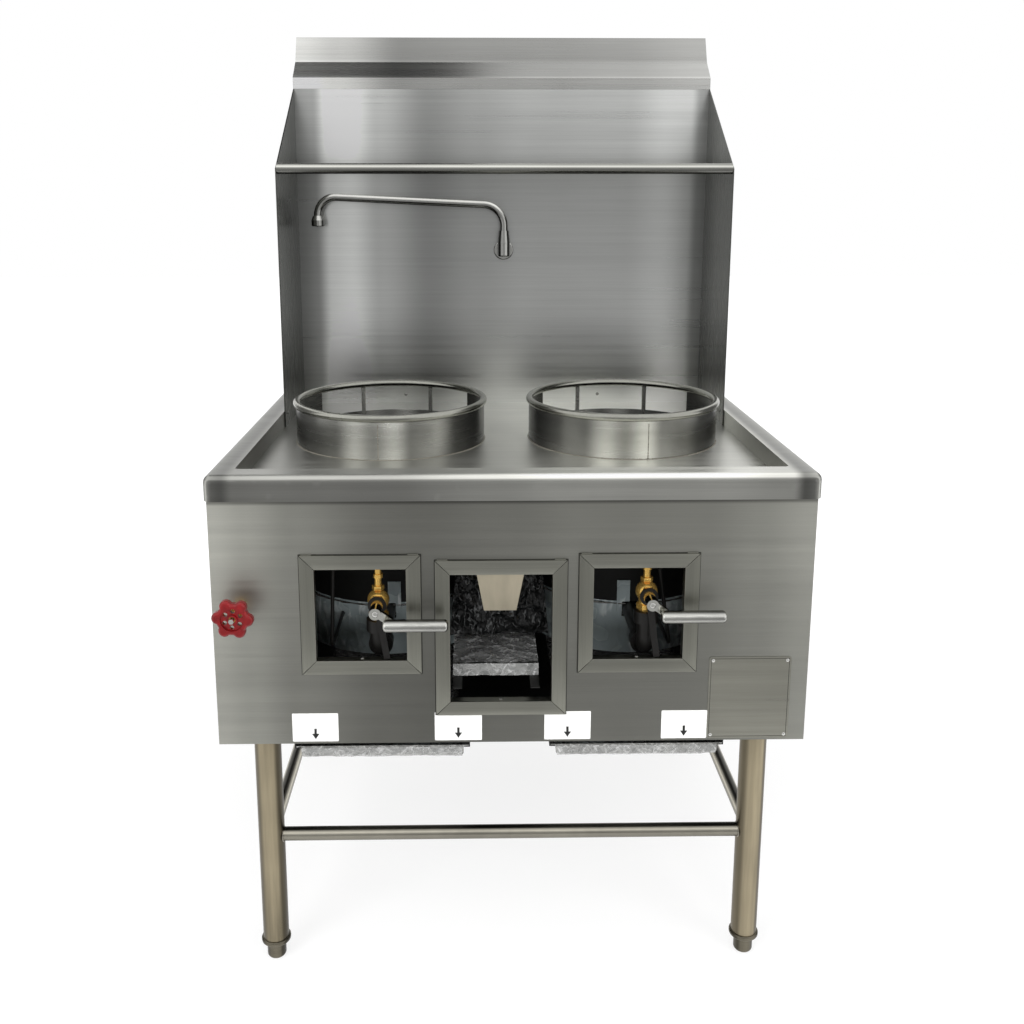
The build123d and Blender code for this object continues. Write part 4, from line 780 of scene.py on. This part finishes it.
# ---- Knee levers ----
# A chrome-plated hub pinned on each valve stem, with a cross-slot screw in its face, and a ground
# stainless bar beside it that the cook's knee pushes down.
plated = brushed("nickel plate", srgb(204, 204, 198), 0.16, (400, 400, 400), clouding=0.35)
# Painted highlight and shade round each bar: dark below, a bright band above the middle, darker at the top.
bar_painted_highlight = ((-1.0, 0.3), (-0.6, 0.45), (-0.2, 0.75), (0.1, 0.7), (0.35, 1.4), (0.6, 1.2), (0.85, 0.5),
             (1.0, 0.35))
hub_inset, hub_sink = 0.009, 0.0015
ground_bar = brushed("ground bar", srgb(200, 200, 195), 0.24, (60, 300, 800), streaks=0.5, clouding=0.5,
                     facing_z=bar_painted_highlight)
hub_head = turned_head("hub screw head", 0.0043, 0.0022, 0.5, True)
dress(plated, "left_lever_hub", "right_lever_hub")
dress(ground_bar, "left_lever_bar", "right_lever_bar")
for name in ("left", "right"):
    low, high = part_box(name + "_lever_hub")
    spot = ((low.x + hub_inset, low.y + hub_sink, high.z - hub_inset), (0, -1, 0))
    mesh = fixed(name + " hub screw", hub_head, [spot], screw_metal)
    shown(name + "_hub_screw", mesh, name + "_knee_lever")

# ---- Water valve and handwheel ----
# A brass valve behind the panel; outside, a die-cast six-lobed wheel in thick glossy red enamel,
# slotted through its web, held on the brass stem by a small hex nut.


def enamel(name, tone, deep):
    """Thick stoved enamel over a casting: pooled colour, a few dull spots and a soft orange peel."""
    made, tree, shader, place = new_finish(
        name, {"Coat Weight": 0.45, "Coat Roughness": 0.12, "Specular IOR Level": 0.3})
    pool = noise_of(tree, place, 90.0, 3.0)
    rough = math_of(tree, "MULTIPLY_ADD", pool, 0.3, 0.16)
    peel = noise_of(tree, place, 420.0, 1.0)
    settle(tree, shader, blend(tree, pool, deep, tone), rough, peel, 0.25, 0.0008)
    return made


dress(enamel("red enamel", srgb(140, 8, 14), srgb(66, 3, 6)), "handwheel")
dress(brass, "handwheel_stem", "water_valve")
dress(screw_metal, "handwheel_nut")
dress(brushed("copper-brown pipe", srgb(150, 120, 96), 0.34, (60, 60, 60), clouding=0.5), "water_pipes")

# ---- Drain chute, scrap tray film and strainer ----
# A folded mill-finish chute under the deck drain. The scrap tray below it is still wrapped, and
# black delivery film is bunched behind the chute. The strainer plate lies over the drain.
dress(brushed("mill-finish chute", srgb(196, 187, 166), 0.42, (60, 60, 14), streaks=0.35, clouding=0.9),
      "drain_chute")
dress(brushed("strainer plate", srgb(160, 160, 154), 0.3, (8, 900, 900)), "drain_strainer")
low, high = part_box("scrap_tray")
over = crinkled("scrap film top", ((low.x, low.y, high.z), (high.x, low.y, high.z),
                                   (high.x, high.y, high.z), (low.x, high.y, high.z)),
                (80, 100), 0.0035, 5, clear_film)
face = crinkled("scrap film face", ((low.x, low.y, low.z), (high.x, low.y, low.z),
                                    (high.x, low.y, high.z + 0.001), (low.x, low.y, high.z + 0.001)),
                (80, 12), 0.003, 13, clear_film)
shown("scrap_tray_film", merged("scrap tray film", over, face), "scrap_tray_drawer", 60)
chute_low, chute_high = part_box("drain_chute")
film_low, film_high, low_past, high_past, lean = 0.536, 0.800, 0.045, 0.02, 0.01
back = chute_high.y + 0.003
behind = crinkled("black film behind the chute",
                  ((chute_low.x - low_past, back + lean, film_low),
                   (chute_high.x + low_past, back + lean, film_low),
                   (chute_high.x + high_past, back, film_high), (chute_low.x - high_past, back, film_high)),
                  (90, 120), 0.009, 21, black_film)
shown("chute_film", behind, "range_body", 60)

# ---- Wok rings ----
# Each is a strip of stainless rolled up, butt-welded at the front and cut low at the rear, with two
# round posts there and a ring of bright round bar welded on top.


def rolled(name, tone, finish, centre, radius, bands):
    """Rolled strip, whose brushing runs round it and whose painted sheen, standing in for its reflections,
    comes and goes round it.
    """
    made = brushed(name, tone, finish, (60, 60, 900), streaks=0.2, clouding=0.1)
    tree = made.node_tree
    tree.nodes["Principled BSDF"].inputs["Metallic"].default_value = 0.8
    look = next(one for one in tree.nodes if one.bl_idname == "ShaderNodeGroup")
    place = node_in(tree, "ShaderNodeTexCoord").outputs["Object"]
    moved = node_in(tree, "ShaderNodeMapping", {"Vector": place, "Location": (-centre.x, 0, 0)})
    spread = [(side * radius, level) for side, level in bands]
    tree.links.new(sheen(tree, moved.outputs[0], "X", spread), look.inputs["Shade"])
    return made


# Painted reflections round each ring wall: dark at its sides, bright bands either side of the front.
ring_painted_reflection = {"left": ((-1.0, 0.15), (-0.75, 0.4), (-0.5, 0.45), (-0.28, 1.5), (-0.1, 0.9), (0.1, 1.9),
                       (0.28, 0.6), (0.5, 0.7), (0.7, 0.2), (1.0, 0.12)),
              "right": ((-1.0, 0.12), (-0.7, 0.4), (-0.5, 0.4), (-0.28, 1.4), (-0.1, 0.75), (0.1, 1.7),
                        (0.28, 0.65), (0.5, 0.45), (0.7, 0.25), (1.0, 0.12))}
rim_bar = brushed("bright rim bar", srgb(168, 168, 160), 0.24, (300, 300, 300), clouding=0.3)
for name in ("left", "right"):
    low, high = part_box(name + "_ring_wall")
    strip = rolled(name + " rolled strip", srgb(186, 186, 180), 0.26, (low + high) / 2,
                   (high.x - low.x) / 2, ring_painted_reflection[name])
    dress(strip, name + "_ring_wall")
dress(rim_bar, "left_ring_rim", "right_ring_rim")

# ---- Backguard: splash, shields, flue riser and cap ----
# Brushed stainless sheets screwed to the deck, the splash's grain running across; the cap is folded
# with a hemmed lip that stands a little proud. The riser behind is plain galvanised sheet.
# Painted reflections: bright and dark bands across the splash and cap, the splash painted lighter low down
# and near its top, and the cap painted in steps by height, its lip lightest.
splash_painted_reflection = ((-0.415, 0.7), (-0.38, 0.8), (-0.35, 1.7), (-0.31, 1.8), (-0.25, 1.1), (-0.15, 0.62),
                (-0.05, 0.85), (0.05, 1.0), (0.25, 1.05), (0.34, 1.4), (0.38, 1.4), (0.4, 0.8), (0.415, 0.7))
splash_painted_rise = ((0.81, 1.75), (0.89, 1.55), (0.97, 1.2), (1.15, 1.0), (1.24, 0.95), (1.29, 0.9), (1.34, 1.35),
               (1.455, 1.45))
cap_painted_reflection = ((-0.417, 2.1), (-0.33, 1.6), (-0.2, 0.75), (-0.05, 0.85), (0.1, 0.9), (0.25, 0.95), (0.417, 1.2))
cap_painted_shade = ((1.45, 1.15), (1.475, 1.15), (1.48, 0.85), (1.508, 0.85), (1.515, 0.7), (1.56, 0.75))
splash_sheet = brushed("brushed splash sheet", srgb(184, 185, 183), 0.3, (6, 900, 900), streaks=0.2,
                       clouding=0.08, across=splash_painted_reflection, upward=splash_painted_rise)
cap_sheet = brushed("brushed cap sheet", srgb(190, 190, 187), 0.28, (6, 900, 900), across=cap_painted_reflection,
                    upward=cap_painted_shade)
shield_sheet = brushed("brushed shield sheet", srgb(98, 99, 95), 0.28, (900, 900, 6))
# Painted highlight and shade round the rail: dark underneath, a bright line above the middle.
rail_painted_highlight = ((-1.0, 0.2), (-0.4, 0.35), (0.1, 0.7), (0.4, 1.6), (0.65, 0.8), (1.0, 0.6))
polished_rail = brushed("polished rail", srgb(190, 190, 184), 0.2, (9, 500, 500), clouding=0.2,
                        facing_z=rail_painted_highlight)
dress(splash_sheet, "back_splash")
dress(cap_sheet, "flue_cap")
dress(shield_sheet, "left_shield", "right_shield")
dress(sheet_back, "flue_riser")
dress(polished_rail, "utensil_rail")

# ---- Swing spout ----
# Chrome-plated brass: a wall flange with its post, a swivel collar and a swan tube with a ribbed
# nozzle, gone slightly dull.
# Painted reflections on the spout: darker at its sides and underneath, a painted highlight on its upper side.
spout_painted_side = ((-1.0, 0.2), (-0.6, 0.35), (-0.2, 0.9), (0.3, 1.2), (0.7, 0.5), (1.0, 0.2))
spout_painted_top = ((-1.0, 0.3), (-0.4, 0.4), (0.1, 0.8), (0.55, 1.5), (0.85, 0.9), (1.0, 0.6))
spout_plate = brushed("dull chrome", srgb(186, 186, 182), 0.16, (260, 260, 260), streaks=0.1, clouding=0.3,
                      facing_x=spout_painted_side, facing_z=spout_painted_top)
dress(spout_plate, "spout_flange", "spout_collar", "spout_tube", "spout_nozzle")

# ---- Rating plate and blank labels ----
# An etched plate left bare but for its border line, riveted on, and four white paper labels along
# the panel's lower edge, each with only an arrow that points down.
dress(brushed("bare plate", srgb(158, 157, 147), 0.3, (12, 1200, 1200), clouding=0.2), "rating_plate")
border_inset, border_wide, border_proud = 0.0035, 0.0007, 0.00008
work = bmesh.new()
bars_round(work, plate_low.x + border_inset, plate_high.x - border_inset, plate_low.z + border_inset,
           plate_high.z - border_inset, border_wide, plate_low.y - border_proud, plate_low.y, (0, 0))
shown("plate_border", made_mesh("plate border", work, shadow_strip_and_border_dark), "range_body")


def paper(name, tone, finish):
    """Coated label stock: faint mottling and a fine fibre."""
    made, tree, shader, place = new_finish(name, {})
    fibre = noise_of(tree, place, 700.0, 3.0)
    level = math_of(tree, "MULTIPLY_ADD", noise_of(tree, place, 30.0, 2.0), 0.12, 0.93)
    rough = math_of(tree, "MULTIPLY_ADD", fibre, 0.2, finish - 0.1)
    settle(tree, shader, scaled(tree, tone[:3], level), rough, fibre, 0.1, 0.0003)
    return made


label_white = paper("white label stock", srgb(234, 234, 232), 0.45)
label_ink = paper("black label ink", srgb(22, 22, 22), 0.5)
label_low, label_high, label_thick, label_corner = 0.415, 0.462, 0.00018, 0.0012
ink_face, ink_back = 0.00026, 0.0001
arrow = ((-0.0019, 0.0215), (0.0019, 0.0215), (0.0019, 0.013), (0.0058, 0.013), (0.0, 0.004),
         (-0.0058, 0.013), (-0.0019, 0.013))
for number, (x0, x1) in enumerate(((-0.341, -0.270), (-0.121, -0.048), (0.049, 0.121), (0.231, 0.302)), 1):
    work = bmesh.new()
    block(work, x0, x1, panel_face - label_thick, panel_face, label_low, label_high)
    corners = [one for one in work.edges if abs(one.verts[0].co.y - one.verts[1].co.y) > label_thick / 2]
    bmesh.ops.bevel(work, geom=corners, offset=label_corner, segments=3, affect="EDGES", profile=0.5)
    front, back = [[work.verts.new(((x0 + x1) / 2 + x, panel_face - proud, label_low + z))
                    for x, z in arrow] for proud in (ink_face, ink_back)]
    for face in [work.faces.new(front), work.faces.new(back[::-1])] + joined_up(work, front, back):
        face.material_index = 1
    mesh = made_mesh(f"label {number}", work, label_white, label_ink)
    shown(f"arrow_label_{number}", mesh, "range_body")

# ---- Floor, light and camera ----
# A white studio floor that keeps a soft shadow, white all round it and broad soft lamps. The metal
# also sees a grey floor cloth and screen in front of it and dark flags at its sides.


def white_to_lens(tree):
    """1 where the camera, a reflection or glass looks straight at it, and 0 elsewhere."""
    path = node_in(tree, "ShaderNodeLightPath").outputs
    seen = math_of(tree, "MAXIMUM", path["Is Camera Ray"], path["Is Glossy Ray"])
    return math_of(tree, "MAXIMUM", seen, path["Is Transmission Ray"])


def bare_tree(owner):
    """The empty node tree of a material or a world."""
    owner.use_nodes = True
    owner.node_tree.nodes.clear()
    return owner.node_tree


def sheet_of(name, material, corner, along, up):
    """One flat studio sheet, from a corner and the two edges that meet there."""
    corner, along, up = Vector(corner), Vector(along), Vector(up)
    work = bmesh.new()
    ring = (corner, corner + along, corner + along + up, corner + up)
    work.faces.new([work.verts.new(spot) for spot in ring])
    return placed(name, made_mesh(name, work, material, solid=False))


floor_material = bpy.data.materials.new("white floor")
tree = bare_tree(floor_material)
place = node_in(tree, "ShaderNodeTexCoord").outputs["Object"]
away = node_in(tree, "ShaderNodeVectorMath", {0: place}, operation="LENGTH").outputs["Value"]
far = out_of(tree, "ShaderNodeMapRange",
             {"Value": away, "From Min": 0.7, "From Max": 2.2, "To Min": 0.74, "To Max": 1.0},
             interpolation_type="SMOOTHSTEP")
matt = out_of(tree, "ShaderNodeBsdfDiffuse", {"Color": (0.3, 0.3, 0.3, 1.0)})
level = math_of(tree, "MULTIPLY", white_to_lens(tree), far)
glow = out_of(tree, "ShaderNodeEmission", {"Color": (1.0, 1.0, 1.0, 1.0), "Strength": level})
lit_floor = out_of(tree, "ShaderNodeAddShader", {0: matt, 1: glow})
node_in(tree, "ShaderNodeOutputMaterial", {0: lit_floor})
reach = 14.0
floor = sheet_of("studio_floor", floor_material, (-reach, -reach, 0), (2 * reach, 0, 0), (0, 2 * reach, 0))
floor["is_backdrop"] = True


def studio_cloth(name, level):
    """Evenly lit studio cloth of one grey, with a soft mottle."""
    made = bpy.data.materials.new(name)
    tree = bare_tree(made)
    mottle = out_of(tree, "ShaderNodeTexNoise", {"Scale": 1.3, "Detail": 2.0})
    glow = out_of(tree, "ShaderNodeEmission",
                  {"Strength": math_of(tree, "MULTIPLY_ADD", mottle, 0.4 * level, 0.8 * level)})
    node_in(tree, "ShaderNodeOutputMaterial", {0: glow})
    return made


wide, near, back, tall = 2.4, 0.95, 4.0, 2.3
for name, level, corner, along, up in (
        ("front_cloth", 0.5, (-wide, -near, 0.01), (2 * wide, 0, 0), (0, near - back, 0)),
        ("front_screen", 0.5, (-wide, -back, 0), (2 * wide, 0, 0), (0, 0, tall)),
        ("left_flag", 0.15, (-wide, 0, 0), (0, wide, 0), (0, 0, tall)),
        ("right_flag", 0.15, (wide, 0, 0), (0, wide, 0), (0, 0, tall)),
        ("ceiling_flag", 0.08, (-1.6, 0.3, 2.7), (1.55, 0, 0), (0, 1.3, 0))):
    card = sheet_of(name, studio_cloth(name, level), corner, along, up)
    card.visible_camera = False
    card.visible_diffuse = False
    card.visible_shadow = False
    card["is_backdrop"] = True

world = bpy.data.worlds.new("studio")
bpy.context.scene.world = world
tree = bare_tree(world)
level = math_of(tree, "MULTIPLY_ADD", white_to_lens(tree), 0.4, 0.6)
sky = out_of(tree, "ShaderNodeBackground", {"Color": (1.0, 1.0, 1.0, 1.0), "Strength": level})
node_in(tree, "ShaderNodeOutputWorld", {0: sky})

for name, place, aim, width, height, power, glossy in (
        ("key", (-1.9, -2.6, 2.7), (0.0, -0.1, 0.8), 1.6, 1.6, 60.0, False),
        ("fill", (2.1, -2.4, 2.0), (0.0, -0.1, 0.7), 1.4, 1.8, 30.0, False),
        ("top", (0.2, -0.3, 3.2), (0.0, 0.0, 0.8), 1.8, 1.4, 34.0, False),
        ("low", (0.1, -2.4, 0.72), (0.0, 0.2, 0.62), 1.4, 0.5, 26.0, False)):
    lamp = bpy.data.lights.new(name, "AREA")
    lamp.shape, lamp.size, lamp.size_y, lamp.energy = "RECTANGLE", width, height, power
    holder = placed(name, lamp)
    holder.location = place
    holder.rotation_euler = (Vector(aim) - Vector(place)).to_track_quat("-Z", "Y").to_euler()
    holder.visible_camera = False
    holder.visible_glossy = glossy

picture, focal_pixels, side_pixels, sensor = 1024, 1044.6, 19.6, 36.0
eye = Vector((-0.058, -1.853, 1.25))
yaw, pitch = math.radians(1.01), math.radians(11.18)
lens = bpy.data.cameras.new("camera")
lens.sensor_width = sensor
lens.lens = focal_pixels / picture * sensor
lens.shift_x = side_pixels / picture
lens.shift_y = -0.11
camera = placed("camera", lens)
camera.location = eye
ahead = Vector((math.sin(yaw) * math.cos(pitch), math.cos(yaw) * math.cos(pitch), -math.sin(pitch)))
camera.rotation_euler = ahead.to_track_quat("-Z", "Y").to_euler()
bpy.context.scene.camera = camera
bpy.context.scene.view_settings.view_transform = "Standard"

low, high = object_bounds()
